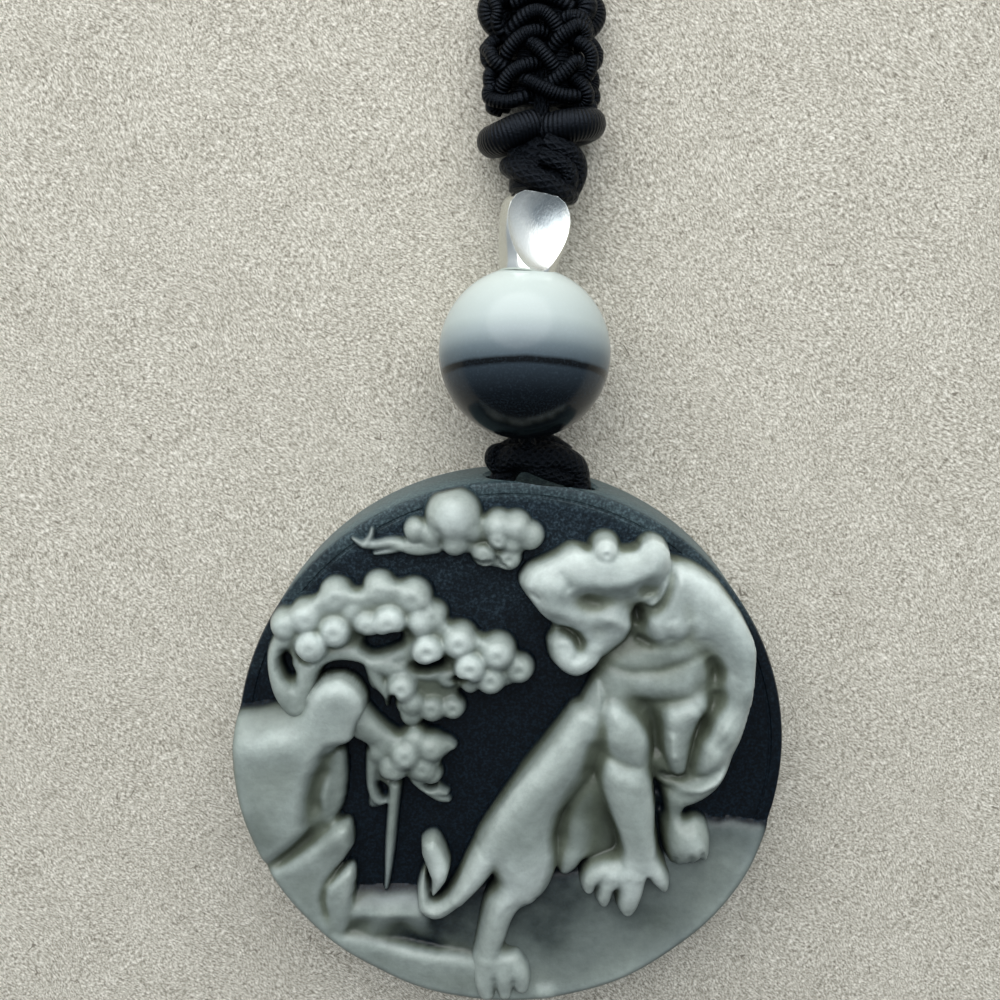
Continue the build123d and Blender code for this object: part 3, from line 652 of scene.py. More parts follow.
# %% Tiger
tiger_bodies = [
    # floor of the pocket under the chest
    Trail([(13.4, -0.6, 10.9, 1.3), (14.8, -2.4, 11, 1.4), (16.8, -2.2, 11.2, 1.4)]),
    # the back, the mane and the ground of the chest
    Form([(9, 18), (13.8, 18.8), (16.2, 18), (18.1, 16.6), (20.1, 13.9), (21.2, 11.9), (21.6, 10.6),
          (21.5, 8.6), (21.4, 6), (21.1, 3.8), (20.6, 1.6), (20.1, 0.2), (19.6, -1.4), (18.9, -2.9),
          (17.8, -4), (16.5, -4.8), (15.2, -5.2), (14, -4.6), (13, -3.4), (11.5, -1), (9, 1), (7.4, 4),
          (6.8, 6.2), (7.4, 8.4), (8, 12), (9, 16)], 2.6,
         [(15.8, 16.6, 13.2), (17.8, 14.6, 13.6), (19.2, 12, 13.8), (19.9, 9.6, 13.8), (20, 6.8, 13.7),
          (19.7, 3.8, 13.4), (19.1, 1.2, 13), (18.2, -1, 12.6), (16.8, -3.2, 12.2), (14.8, -3.8, 11.4),
          (16.8, 12.6, 13), (17.4, 10.6, 12.3), (18.3, 8.1, 11.2), (13.4, 16.8, 12.9), (14.6, 14.6, 12.8),
          (13.1, 13.1, 12.4), (15.6, 12.2, 12.3), (14.2, 11, 11.8), (12, 12.5, 11.6), (11.2, 13.6, 10.9),
          (11.4, 11.2, 10.7), (10, 9.8, 10.9), (9.4, 8.4, 11.4), (12, 8, 11.6), (14.4, 8, 11.8),
          (12.2, 6, 11.4), (15, 5.6, 11.8), (16.6, 8.6, 11.9), (17, 5.4, 11.7), (15.4, 3.2, 11.5),
          (13.6, 3.6, 11), (18.2, 5.8, 10.9), (17.4, 3.4, 11), (16.4, 1.4, 10.6), (14.4, 1, 10.9),
          (12, 5, 11), (13.2, 1.2, 10.4), (13.3, -0.8, 9.9), (14.2, -2.2, 9.5), (15.6, -1.6, 10.2),
          (17.4, 1.2, 12.2), (18.4, 3.4, 12.6), (9.4, 5.2, 11.6)]),
    # pointed tuft of the chest
    Trail([(15.3, 4.4, 12.2, 2), (15.1, 2.8, 12.2, 1.7), (15, 1.2, 12.1, 1.35), (15.1, -0.3, 11.9, 0.95),
           (15.3, -1.5, 11.5, 0.5)]),
    # mane behind the ear
    Trail([(14.2, 16.4, 13.1, 1.4), (14.1, 14.8, 13, 1.7), (14.6, 13.2, 12.9, 1.7)]),
    # flank and thigh, down to the hind paw
    Form([(7.6, 8.2), (6.5, 5.9), (5.5, 4), (4.2, 2.3), (3.3, 0.6), (1.6, -0.7), (-0.2, -3), (-1.9, -5.5),
          (-3.4, -8), (-3.6, -10.4), (-1.9, -11.4), (-1.4, -12.5), (-2.5, -13.9), (-2.9, -15.7),
          (-3.4, -18.4), (-4, -20.6), (-3.9, -21.9), (-3.2, -22.9), (-2.9, -24), (-2.1, -24.6),
          (-1.3, -24.1), (-0.9, -24.4), (-0.2, -24.4), (0.1, -24), (0.8, -24.1), (1.4, -23.7), (1.8, -22.6),
          (2.1, -21.4), (1.8, -20.6), (0.8, -19.8), (-0.1, -19.1), (-0.5, -18.2), (-0.3, -16.9),
          (0.2, -15.7), (1.3, -15.2), (2.6, -14.4), (3.6, -13.1), (4.3, -11.3), (4.5, -9.5), (4.2, -7.6),
          (5, -5.4), (7.4, -3.2), (9, -1), (9.8, 2), (9.6, 6)], 2.6,
         [(7.4, 5.4, 12.2), (6.2, 2.6, 12.8), (4.8, 0.2, 13.2), (3.2, -2, 13.4), (1.6, -4.2, 13.5),
          (0.4, -6.8, 13.4), (-0.9, -8.8, 12.9), (-2.4, -9.8, 12.2), (8.2, 1.6, 12), (7.2, -0.8, 11.9),
          (5.4, -2.8, 12.1), (3.8, -5.4, 12.6), (3.2, -8.2, 12.9), (3, -10.8, 12.7), (1.9, -12.8, 12.5),
          (0.6, -10.8, 13), (0.2, -14, 12.3), (-1, -15.6, 12), (-1.8, -18.2, 11.6), (-2.8, -20.8, 11.4),
          (-0.6, -20.6, 11.5), (-2, -23.2, 11.5), (-0.6, -22.8, 11.6), (0.8, -22.2, 11.5)]),
    Trail([(6.6, 3.6, 12.5, 1.5), (5, 0.6, 12.9, 1.9), (3.2, -2, 13.1, 2.1), (1.6, -4.8, 13.2, 2.3),
           (0.9, -7.8, 13.1, 2.5), (1.4, -10.6, 12.9, 2.4), (1.2, -12.6, 12.5, 1.9)]),
    Trail([(0.8, -12.4, 12.4, 1.6), (-0.6, -14.6, 12.1, 1.3), (-1.4, -17, 11.8, 1.1),
           (-1.9, -20, 11.5, 1.2)]),
    # toes of the hind paw
    Trail([(-2, -20.6, 11.5, 1.3), (-2.4, -22.4, 11.5, 1.1), (-2.2, -23.8, 11.3, 0.8)]),
    Trail([(-0.8, -20.6, 11.5, 1.2), (-0.6, -22.4, 11.6, 1), (-0.5, -23.8, 11.3, 0.65)]),
    Trail([(0.2, -20.6, 11.4, 1.1), (1, -21.8, 11.5, 0.95), (1.1, -23.2, 11.2, 0.65)]),
    # the belly in shade and the far thigh
    Form([(7.6, -1), (5, -4.6), (3.6, -8), (4.4, -11.9), (5.4, -12), (6.3, -11.2), (6.8, -10.4),
          (8.6, -10.6), (10.2, -9.8), (10.6, -6), (9, -2)], 1.2,
         [(7.9, -3.6, 11.2), (6.8, -5.6, 10.9), (5.8, -7.8, 11.2), (5.7, -9.8, 11.3), (5.4, -11, 11.1),
          (7.4, -9.4, 10.6), (9.4, -9, 10.2), (8.8, -6.6, 10.3), (4.9, -8.4, 10.9)]),
    # far foreleg
    Form([(13.3, -3), (15.5, -3), (16.4, -4.6), (15.8, -5.6), (15.9, -6.1), (16.9, -5.7), (18.1, -6.4),
          (18.4, -7.9), (18.3, -10.1), (17.8, -10.5), (17.4, -10.1), (17, -11), (16.3, -10.7),
          (15.4, -11.2), (14.8, -10.9), (14.2, -9.5), (13.7, -7), (13.2, -5)], 1.5,
         [(14.8, -4.4, 11.2), (14.8, -7, 11.4), (15.3, -9, 11.8), (16.8, -7.8, 12.3), (17.3, -9.4, 12.1),
          (17.7, -6.8, 11.7), (16.2, -10.2, 11.5), (14, -6, 10.4)]),
    # near foreleg
    Form([(7.2, 5), (7.9, 2.6), (7.9, 0.8), (7.6, -1.3), (8.2, -3.4), (9.1, -5.6), (9.8, -7.4),
          (10.1, -8.8), (9.4, -9.7), (7.5, -10.1), (6.6, -11.2), (6.8, -12.9), (7.4, -13.4), (7.9, -13.5),
          (8.1, -14.3), (8.7, -14.8), (9.3, -14.1), (9.6, -14.3), (9.9, -15.2), (10.9, -15.7),
          (11.8, -15.2), (12.3, -13.8), (12.5, -12.4), (12.9, -12.3), (13.8, -13.1), (14.5, -13),
          (14.6, -10.8), (13.9, -9.5), (13.3, -8.1), (13.3, -5.3), (13, -2.6), (12.8, -0.9), (13, 1.1),
          (12.5, 2.8), (10.8, 5.2), (9, 6.8)], 2.2,
         [(9, 4.8, 12.4), (9.8, 2.6, 12.9), (11.4, 2.2, 12.5), (8.9, 1, 12.6), (10.3, 0, 12.6),
          (12, 0.2, 12.3), (9.4, -1.8, 12.9), (11, -2.2, 13.1), (10.4, -4.2, 13.2), (11.4, -6.2, 13.2),
          (11.8, -8.4, 13), (12.1, -10.4, 12.5), (9.2, -11.2, 11.9), (7.7, -11.6, 11.7), (8.6, -13.4, 11.3),
          (10.9, -13.8, 11.6), (10.2, -12.2, 11.9), (13.5, -11.8, 11.6), (12.2, -12, 12)]),
    # forearm
    Trail([(9.2, -0.4, 12.4, 1), (9.9, -1.9, 12.9, 1.4), (10.7, -4.2, 13.2, 1.5), (11.4, -6.6, 13.2, 1.5),
           (11.9, -8.8, 13, 1.5), (11.6, -10.6, 12.7, 1.7)]),
    # toes of the near forepaw
    Trail([(9.6, -10.8, 12.3, 1.1), (8, -11.2, 12.1, 1), (7.4, -12.2, 11.8, 0.8), (7.3, -13, 11.4, 0.5)]),
    Trail([(9.6, -11.4, 12.4, 1.1), (8.9, -12.6, 12.1, 0.8), (8.7, -13.7, 11.8, 0.65),
           (8.7, -14.4, 11.4, 0.4)]),
    Trail([(11.2, -11.2, 12.7, 1.4), (11.1, -13, 12.4, 1.15), (10.9, -14.4, 12, 0.95),
           (10.9, -15.1, 11.6, 0.6)]),
    Trail([(12.4, -10, 12.6, 1.1), (13.4, -11.2, 12.3, 0.85), (14, -12.2, 12, 0.6),
           (14.2, -12.8, 11.6, 0.35)]),
    # tail and its tuft
    Trail([(0.4, -5.6, 12.6, 1.6), (-1.6, -8.6, 12.5, 1.5), (-3.4, -11.9, 12, 1.1),
           (-4.9, -13.9, 11.7, 0.8)]),
    Form([(-3.2, -8), (-4.2, -10.2), (-5, -12), (-5.7, -13.3), (-6.6, -14.2), (-7.4, -14.4), (-7.6, -12.6),
          (-7.8, -10.8), (-8.3, -11.6), (-8.7, -13), (-8.7, -15.4), (-8.2, -15.9), (-7.2, -16.4),
          (-6.2, -16.2), (-5.2, -15.4), (-4.4, -14.6), (-3.2, -13.2), (-1.8, -11.4), (-0.8, -9.4)], 1.5,
         [(-3, -10.6, 12.3), (-4.6, -13.4, 12), (-6, -15, 11.7), (-7.4, -15.4, 11.6), (-8.1, -14, 11.5),
          (-8.2, -12.4, 11.2)]),
    Form([(-7, -7.4), (-6.4, -8.1), (-5.8, -9.4), (-5.5, -10.6), (-5.8, -11.9), (-6.5, -13), (-7.4, -14.2),
          (-7.2, -12.2), (-7.7, -10.9), (-8.3, -9.2), (-8.1, -8)], 1.2,
         [(-7.1, -9, 12.3), (-6.7, -11.2, 12.4), (-7, -12.9, 12.1), (-7.6, -10, 12.1)]),
    # head
    Form([(0.7, 16.8), (1.3, 17.8), (2.5, 18.4), (3.8, 19), (4.8, 19.7), (5.6, 19.9), (6.4, 19.6),
          (7.2, 19.5), (7.5, 20.1), (8.1, 20.4), (8.8, 20.2), (9.1, 19.6), (9.9, 19.6), (10.9, 19.6),
          (11.3, 20.2), (12.2, 20.7), (13.2, 20.3), (13.8, 19.5), (14, 18.5), (13.9, 17.5), (13.4, 16.2),
          (12.9, 14.6), (12.4, 14.2), (11.8, 14.4), (11.2, 14.5), (10.9, 14.1), (10.7, 13.4), (10.8, 12.8),
          (10.7, 12.1), (10.1, 11), (9.1, 10.2), (8.4, 9.6), (7.8, 9.4), (7.5, 9), (7.1, 8.4), (6.5, 7.9),
          (5.7, 7.7), (4.7, 8.1), (3.9, 9.1), (3.5, 10.2), (3.4, 11.3), (3.7, 12.1), (3.6, 12.7),
          (2.8, 13.3), (2, 14.3), (1.2, 15.3), (0.7, 16.1)], 2,
         [(1.8, 16.8, 12.8), (2, 15.4, 12.9), (3.3, 16.8, 13.4), (3.3, 14.8, 13.5), (4.8, 15.4, 13.4),
          (4.9, 13.9, 13.2), (3.6, 13.5, 13.1), (4.5, 17.6, 13.5), (6, 16.9, 13.9), (8, 16.8, 14.1),
          (10, 17.1, 14.1), (12, 18, 14.2), (5.6, 18.8, 13.3), (8.2, 19, 13.3), (10.4, 18.9, 13.4),
          (12.4, 19.6, 13.8), (8.2, 20.2, 12.9), (6.8, 15.1, 12.5), (8.6, 15.1, 12.8), (6.8, 13.9, 12.8),
          (8.6, 14, 13), (10, 14.8, 12.9), (9.6, 13.1, 12.9), (8, 12.5, 12.6), (9.8, 11.8, 12.6),
          (8.4, 10.8, 12.5), (7.3, 9.6, 12.6), (5.7, 8.9, 12.8), (4.6, 9.8, 12.6), (4.5, 11.2, 12.3),
          (6.9, 11.2, 12.4), (12.2, 16.2, 13.1), (12.3, 15.2, 13)]),
    # curl on the crown
    Ball(8.2, 19.4, 13.5, 0.95, 0.3),
    # lower jaw
    Trail([(4.3, 10.8, 12.2, 0.8), (4.7, 9.5, 12.4, 1), (5.8, 8.9, 12.5, 1), (7, 9.5, 12.4, 0.9),
           (7.4, 10.6, 12.3, 0.8)]),
]
tiger_strokes = [
    # brow, bridge of the nose, upper lip and cheek
    Stroke(0.9, 0.3, [(5, 16.9), (6.6, 16.6), (8.2, 16.7), (10, 17.1), (12, 17.8)]),
    Stroke(1.1, 0.3, [(1.8, 16.4), (3.4, 16.2), (5, 16.2)]),
    Stroke(0.7, 0.3, [(2.2, 15), (3.6, 14.3), (5.2, 13.8), (6.4, 13.3)]),
    Stroke(0.6, 0.3, [(7.4, 13.5), (8.8, 13.5), (10, 12.9), (10.3, 11.8)]),
    # lobes of the chest
    Stroke(1.3, 0.35, [(9.1, 9.6), (11.3, 9.9), (14.2, 10.4), (16.7, 11.1)]),
    Stroke(1.1, 0.3, [(10.6, 7.1), (13.1, 6.8), (15.4, 7.2), (17, 8.1)]),
    Stroke(1, 0.45, [(13.2, 4.1), (14.9, 4.1), (16.8, 5.3)]),
    Stroke(0.9, 0.5, [(17.1, 9), (17.5, 7.2), (17.2, 5.2), (16.4, 3.1)]),
    Stroke(0.5, 0.45, [(14.3, 3.1), (14.4, 1.2), (14.6, -0.3)]),
    Stroke(0.45, -0.22, [(8, 8.9), (10.6, 8.2), (13.1, 8.3), (15.3, 9.2), (17, 10.2)]),
    Stroke(0.45, -0.22, [(10.3, 5.7), (12.6, 5.2), (14.8, 5.5), (16.8, 6.5)]),
    Stroke(0.5, -0.2, [(12.3, 5), (13, 3.1), (13.2, 0.6)]),
    Stroke(0.18, -0.18, [(14.1, 2.5), (14.2, 0.9), (14.4, -0.3)]),
    # locks of the mane's lower edge
    Stroke(0.95, 0.35, [(12.2, 13.6), (12.7, 12.3), (13.4, 11.1)]),
    Stroke(0.9, 0.3, [(13.8, 13.6), (14.4, 12.4), (15.2, 11.4)]),
    Stroke(0.85, 0.25, [(15.5, 13.7), (16.3, 12.6), (16.6, 11.4)]),
    Stroke(0.5, -0.15, [(12.2, 10.9), (13.6, 10.6), (15, 10.8)]),
    # folds of the skin beside the chest
    Stroke(0.45, 0.28, [(19.8, 8.6), (19.1, 7.4), (18.4, 6.6), (17.8, 6.2)]),
    Stroke(0.7, 0.22, [(20.2, 6), (19.4, 3.8), (18, 2), (16.7, 0.7)]),
    Stroke(0.7, 0.22, [(20.2, 3.2), (19.2, 1.2), (17.8, -0.2), (16.4, -1)]),
    Stroke(0.4, -0.18, [(20, 4.6), (18.9, 2.4), (17.6, 0.8)]),
    Stroke(0.4, 0.45, [(19.6, -0.4), (18.6, -1.9), (17.2, -2.7), (15.6, -3), (14.4, -3.4)]),
    Stroke(0.4, -0.4, [(18.9, -0.4), (17.8, -1.5), (16.6, -2)]),
    # shoulder and elbow
    Stroke(1.2, 0.45, [(8.2, 5.4), (9.6, 4.6), (11, 3.4), (12, 1.8), (12.4, 0.4)]),
    Stroke(0.9, 0.3, [(8.2, 3), (9.6, 2), (11, 1), (12.2, -0.1)]),
    Stroke(0.8, 0.2, [(8.2, -1), (9.6, -1.3), (11, -1.6), (12.4, -2)]),
    # the open mouth and the tongue
    Stroke(0.44, -1.15, [(3.5, 12.45), (4.4, 12.35), (5.1, 12.25), (5.8, 11.8), (6.2, 11.1), (6.1, 10.3),
                         (5.8, 9.9)]),
    Stroke(0.36, -0.6, [(4.2, 12.1), (5, 12), (5.7, 11.3), (5.9, 10.6)]),
    # stop of the forehead, eye socket, nostril
    Stroke(0.6, -0.35, [(3.8, 17.9), (4.6, 17), (5.3, 16.1)]),
    Stroke(0.6, -0.38, [(6, 15.7), (6.7, 15.2), (7.4, 14.9), (8.3, 15)]),
    Stroke(0.28, -0.3, [(1.7, 15.8), (2.2, 15.4), (2.5, 15.6)]),
    # hollow of the near ear, its rim, and the valley behind it
    Stroke(0.75, -0.65, [(10.9, 16.6), (11.7, 16.1), (12.1, 15.4)]),
    Stroke(0.2, 0.35, [(13.5, 17.2), (13.2, 16.2), (12.9, 15.3), (12.4, 14.7), (11.7, 14.6)]),
    Stroke(0.4, -0.7, [(14.1, 18.2), (14, 16.8), (13.6, 15.6), (13.1, 14.5), (12.3, 13.8)]),
    Stroke(0.2, -0.25, [(7.5, 19.2), (7.6, 19.9), (8.2, 20.1), (8.8, 19.9), (8.9, 19.2)]),
    # shadow behind the cheek
    Stroke(0.45, -1.1, [(11.2, 14.2), (11.3, 13.3), (11.6, 12.4)]),
    Stroke(0.45, -0.55, [(10.9, 11.3), (11.8, 11), (12.8, 10.6)]),
    # folds of the cheek
    Stroke(0.5, -0.2, [(9.9, 15.8), (10.3, 14.8), (10.2, 14)]),
    # valley between the chest and the back
    Stroke(0.55, -0.55, [(17.4, 10), (18.2, 8.6), (18.3, 7.2)]),
    Stroke(0.5, -0.5, [(18.3, 6), (17.9, 4.4), (17.3, 3), (16.5, 1.6)]),
    Stroke(0.55, -0.35, [(11.2, 5.7), (12.4, 4.6), (13.1, 3.2), (13.3, 1.2)]),
    # dark pocket under the tuft
    Stroke(0.4, -0.7, [(13.3, -1.4), (14.2, -2), (15.4, -1.9), (16.2, -1.6)]),
    Stroke(0.35, -0.9, [(13.5, -3), (13.9, -4.4), (14, -6.2)]),
    # crease of the elbow
    Stroke(0.45, -0.22, [(7.9, 0.9), (9.2, 0.3), (10.6, -0.3), (12.4, -0.9)]),
    # between the toes
    Stroke(0.25, -0.3, [(-1.5, -21.6), (-1.4, -22.9), (-1.3, -24.2)]),
    Stroke(0.22, -0.3, [(0.2, -22), (0.25, -23), (0.3, -24)]),
    Stroke(0.22, -0.5, [(16.5, -9.2), (16.7, -10.2), (16.7, -11)]),
    Stroke(0.22, -0.5, [(17.4, -8.8), (17.6, -9.6), (17.6, -10.5)]),
    Stroke(0.22, -0.45, [(15.2, -9.6), (15.3, -10.4), (15.2, -11.2)]),
    Stroke(0.2, -0.5, [(8, -12.2), (8, -13), (7.9, -13.8)]),
    Stroke(0.22, -0.6, [(9.7, -12.6), (9.6, -13.6), (9.5, -14.4)]),
    Stroke(0.22, -0.6, [(12.5, -11.2), (12.7, -12), (12.7, -12.8)]),
    # hollow beside the hock, thigh and belly folds
    Stroke(0.45, -0.5, [(-1, -19.6), (-0.5, -19), (-0.2, -18.3)]),
    Stroke(0.6, -0.3, [(5.2, -4.4), (4.9, -6.4), (4.7, -8.6)]),
    Stroke(0.9, -0.45, [(7.5, 2.4), (7.2, 0.2), (7, -2.2)]),
    Stroke(0.3, -0.25, [(2.2, -13.2), (2.5, -13.9), (2.3, -14.6)]),
]
tiger_softness = 0.5

# %% Tiger piece
tiger_patch = Patch(-9.0, 22.2, -24.4, 21.6, 0.125, tiger_softness, 2)
make_relief("tiger", tiger_patch, tiger_bodies, tiger_strokes)

# %% [markdown]
# The pine's clusters of needles are carved as round balls with a small dimple on top, heaped
# on each other and held up by thin stems. Behind them the carver left a low web of stone and
# cut it right through in places, so the dark ground shows as holes.

# %% Pine
pine_bodies = [
    # the web of stems behind the upper clusters
    Form([(-21.1, 11.2), (-21.35, 9.1), (-20.85, 7.3), (-19.5, 5), (-18.5, 5), (-17.9, 7.3), (-17.1, 8.5),
          (-15.75, 9.1), (-13.6, 9.2), (-13.05, 8), (-12.7, 6.2), (-11.65, 5.8), (-11.2, 4.1),
          (-10.45, 4.85), (-9.7, 3), (-8.95, 3.2), (-8, 3.75), (-7.1, 2.9), (-5.8, 3.4), (-4.3, 4.3),
          (-4.5, 5.4), (-4.7, 6.3), (-2.8, 6.35), (-1.7, 6.15), (0.5, 6.7), (1.6, 7.8), (1.1, 9.3),
          (0, 10.3), (-1.2, 11), (-3.2, 11.6), (-4.7, 12.2), (-6.2, 13.2), (-7.2, 15.3), (-8.8, 16.2),
          (-11.5, 16.6), (-13.2, 15.5), (-15.3, 16.2), (-16.95, 15.2), (-18.4, 14.5), (-20.1, 13.6),
          (-21, 12.5)], 0.8,
         [(-20.6, 11, 11.2), (-20.9, 9, 11), (-19.6, 6.4, 11.4), (-18.4, 8.6, 11.3), (-16.6, 9.9, 11),
          (-14, 10, 10.9), (-12.2, 8.4, 10.9), (-11.4, 6.4, 10.5), (-9.6, 8.6, 11.1), (-7, 7.4, 10.6),
          (-5, 8, 10.6), (-2.6, 8, 11.2), (-9, 4.6, 10.9), (-6, 4.2, 10.5), (-18, 12.4, 11.8),
          (-13, 13.6, 11.7), (-9, 13.8, 11.7), (-6.2, 11.4, 11.6), (-2, 9.6, 11.6), (0.4, 8.2, 11)]),
    # the web behind the lower clusters, with its twigs
    Form([(-10.8, 2), (-9.5, 2.4), (-8, 2.3), (-6.9, 2), (-5.5, 1.4), (-5.4, 0.2), (-6.2, -0.4),
          (-6.5, -1.7), (-6.9, -2.5), (-6, -3.3), (-5.5, -4.3), (-6, -4.8), (-7.1, -4.5), (-8.1, -3.9),
          (-8.8, -3), (-9.7, -2.4), (-10.45, -2.6), (-11, -3.1), (-11.2, -4.6), (-11.95, -5.5), (-13, -5.6),
          (-13.2, -4.9), (-12.8, -3.3), (-12.7, -1.65), (-12.5, -0.15), (-13.05, 1.15), (-14.6, 2),
          (-14, 4), (-12.3, 3.4)], 0.6,
         [(-13, 2.4, 11.3), (-11.4, 1, 10.9), (-8.6, 0.4, 11.2), (-6.4, 0.8, 10.9), (-11.9, -2, 10.4),
          (-12.3, -4.4, 10.1), (-8, -2.2, 10.7), (-6.6, -4, 10.3)]),
    Trail([(-19.3, 4.8, 11.6, 1.2), (-20.3, 6.2, 11.9, 1), (-21, 8.4, 11.7, 0.7), (-20.8, 10.2, 11.6, 0.7),
           (-19.6, 11.6, 11.6, 0.9)]),
    Trail([(-19, 4.8, 11.6, 1.1), (-18.6, 6.6, 11.8, 0.9), (-17.8, 8.9, 11.7, 0.8), (-16, 9.9, 11.5, 0.7),
           (-13.6, 9.8, 11.4, 0.75), (-11.6, 8.8, 11.3, 0.8), (-9.6, 7.6, 11.4, 0.9)]),
    Trail([(-12.4, 8.8, 11.2, 0.6), (-11.9, 7, 11, 0.5), (-10.7, 5.4, 10.9, 0.5), (-9.4, 4.4, 10.9, 0.6)]),
    Trail([(-9.6, 8.4, 11.3, 0.8), (-7.6, 7.7, 10.9, 0.6), (-5.6, 7.7, 10.8, 0.6), (-3.4, 8.4, 11.2, 0.8)]),
    Trail([(-14.6, 4.6, 11.8, 1.4), (-13, 3, 11.5, 1.1), (-11.4, 1.6, 11.4, 1), (-9.6, 0.6, 11.6, 1.1)]),
    Trail([(-12.4, 0, 10.9, 0.7), (-12.8, -2.2, 10.6, 0.4), (-12.7, -4, 10.5, 0.35), (-12, -4.9, 10.4, 0.3),
           (-11.1, -4.5, 10.3, 0.25)]),
    Trail([(-8.8, -2, 11, 0.6), (-8, -3.2, 10.8, 0.4), (-6.9, -3.6, 10.7, 0.35), (-5.9, -3.8, 10.5, 0.25)]),
    Trail([(-7.4, -3.6, 10.6, 0.4), (-6.6, -4.4, 10.5, 0.3), (-5.7, -4.6, 10.3, 0.25)]),
    Trail([(-10.4, -1.8, 11, 0.5), (-10.8, -5.4, 10.7, 0.42), (-11.15, -9.2, 10.6, 0.38),
           (-11.35, -11.8, 10.3, 0.26), (-11.6, -13.6, 10, 0.16)]),
    # clusters of needles
    Ball(-20, 12.4, 12.2, 1.25, 0.1),
    Ball(-18, 13.1, 12.5, 1.5, 0.2),
    Ball(-17.6, 10.7, 13.1, 1.45, 0.15),
    Ball(-15.5, 12, 12.8, 1.5, 0.2),
    Ball(-15.4, 15, 12, 1.55, 0.3),
    Ball(-13.9, 13.5, 12, 1.2, 0),
    Ball(-12.6, 12.6, 12.5, 1.3, 0.15),
    Ball(-11.6, 15.7, 11.9, 1.45, 0.3),
    Ball(-10.7, 12.9, 13.1, 1.5, 0.25),
    Ball(-8.6, 14.9, 12.1, 1.6, 0.3),
    Ball(-8, 12.7, 12.4, 1.4, 0),
    Ball(-6.9, 13.2, 11.8, 1.25, 0.2),
    Ball(-7.35, 10.3, 13, 1.45, 0.3),
    Ball(-4.6, 10.9, 12.6, 1.55, 0.25),
    Ball(-3.6, 8.7, 13, 1.4, 0.3),
    Ball(-1.2, 9.8, 12.5, 1.55, 0.25),
    Ball(-1.8, 7.4, 12.3, 1.35, 0.25),
    Ball(0.75, 8.2, 11.7, 1.3, 0.35),
    Ball(-9.7, 6.7, 12.4, 1.35, 0.2),
    Ball(-8.8, 5.2, 11.9, 1.15, 0),
    Ball(-7.1, 4.5, 11.6, 1.25, 0.2),
    Ball(-5.2, 4.5, 11.3, 1.1, 0.25),
    Ball(-8.9, 3.8, 11.3, 1.05, 0),
    Ball(-5.6, 7.4, 11.3, 0.95, 0.15),
    Ball(-3.6, 6.8, 11.3, 0.85, 0),
    Ball(-9.5, 0.3, 12.4, 1.42, 0.2),
    Ball(-7.2, 0.8, 12, 1.35, 0.2),
    Ball(-8.6, 1.6, 11.9, 1.2, 0),
    Ball(-10.6, -1.1, 12, 1.35, 0.15),
    Ball(-8, -1.1, 11.9, 1.3, 0.2),
    Ball(-11.6, 0.4, 11.4, 1.3, 0),
    Ball(-7.2, -1.9, 11.3, 0.95, 0),
    Trail([(-7.2, 0.8, 11.8, 1), (-6, 1, 11.3, 0.7), (-5.3, 0.8, 10.8, 0.35)]),
]
pine_strokes = [
    # holes cut right through the web
    Stroke(0.75, -4, [(-13.2, 11.2), (-12.2, 10.5), (-11, 10.8), (-9.4, 11.6)]),
    Stroke(0.45, -3.6, [(-20.1, 9.8), (-20.1, 8.6), (-19.5, 7.2)]),
    Stroke(0.4, -3.4, [(-8.7, 8.6), (-7.4, 8.5), (-5.9, 9.1)]),
    Stroke(0.28, -2.6, [(-10.4, 6), (-10.7, 4.8), (-10.6, 3.6)]),
    Stroke(0.26, -2.2, [(-12, -2.9), (-11.6, -3.5), (-11.5, -4.2)]),
    Stroke(0.25, -1.6, [(-5.2, 7.3), (-4.4, 7.5), (-3.6, 7.6)]),
    Stroke(0.22, -1.5, [(-7.9, -2.9), (-7.3, -3.1), (-6.6, -2.9)]),
    # shadowed undersides
    Stroke(0.3, -0.7, [(-11.6, -2.2), (-10.2, -2.5), (-8.9, -2.3)]),
    Stroke(0.25, -0.6, [(-19, 10), (-18.4, 9.2), (-17.4, 9)]),
]
pine_softness = 0.7

# %% Pine piece
pine_patch = Patch(-22.2, 2.8, -13.6, 17.4, 0.125, pine_softness, 2)
make_relief("pine", pine_patch, pine_bodies, pine_strokes)

# %% [markdown]
# The sun is a low dome behind a bank of small round clouds, with a thin streamer at its left.
# The clouds are balls set on a low web, like the pine's clusters but smaller, and the streamer
# is three trails that taper to nothing, as the carver draws a fine tool out of the stone.

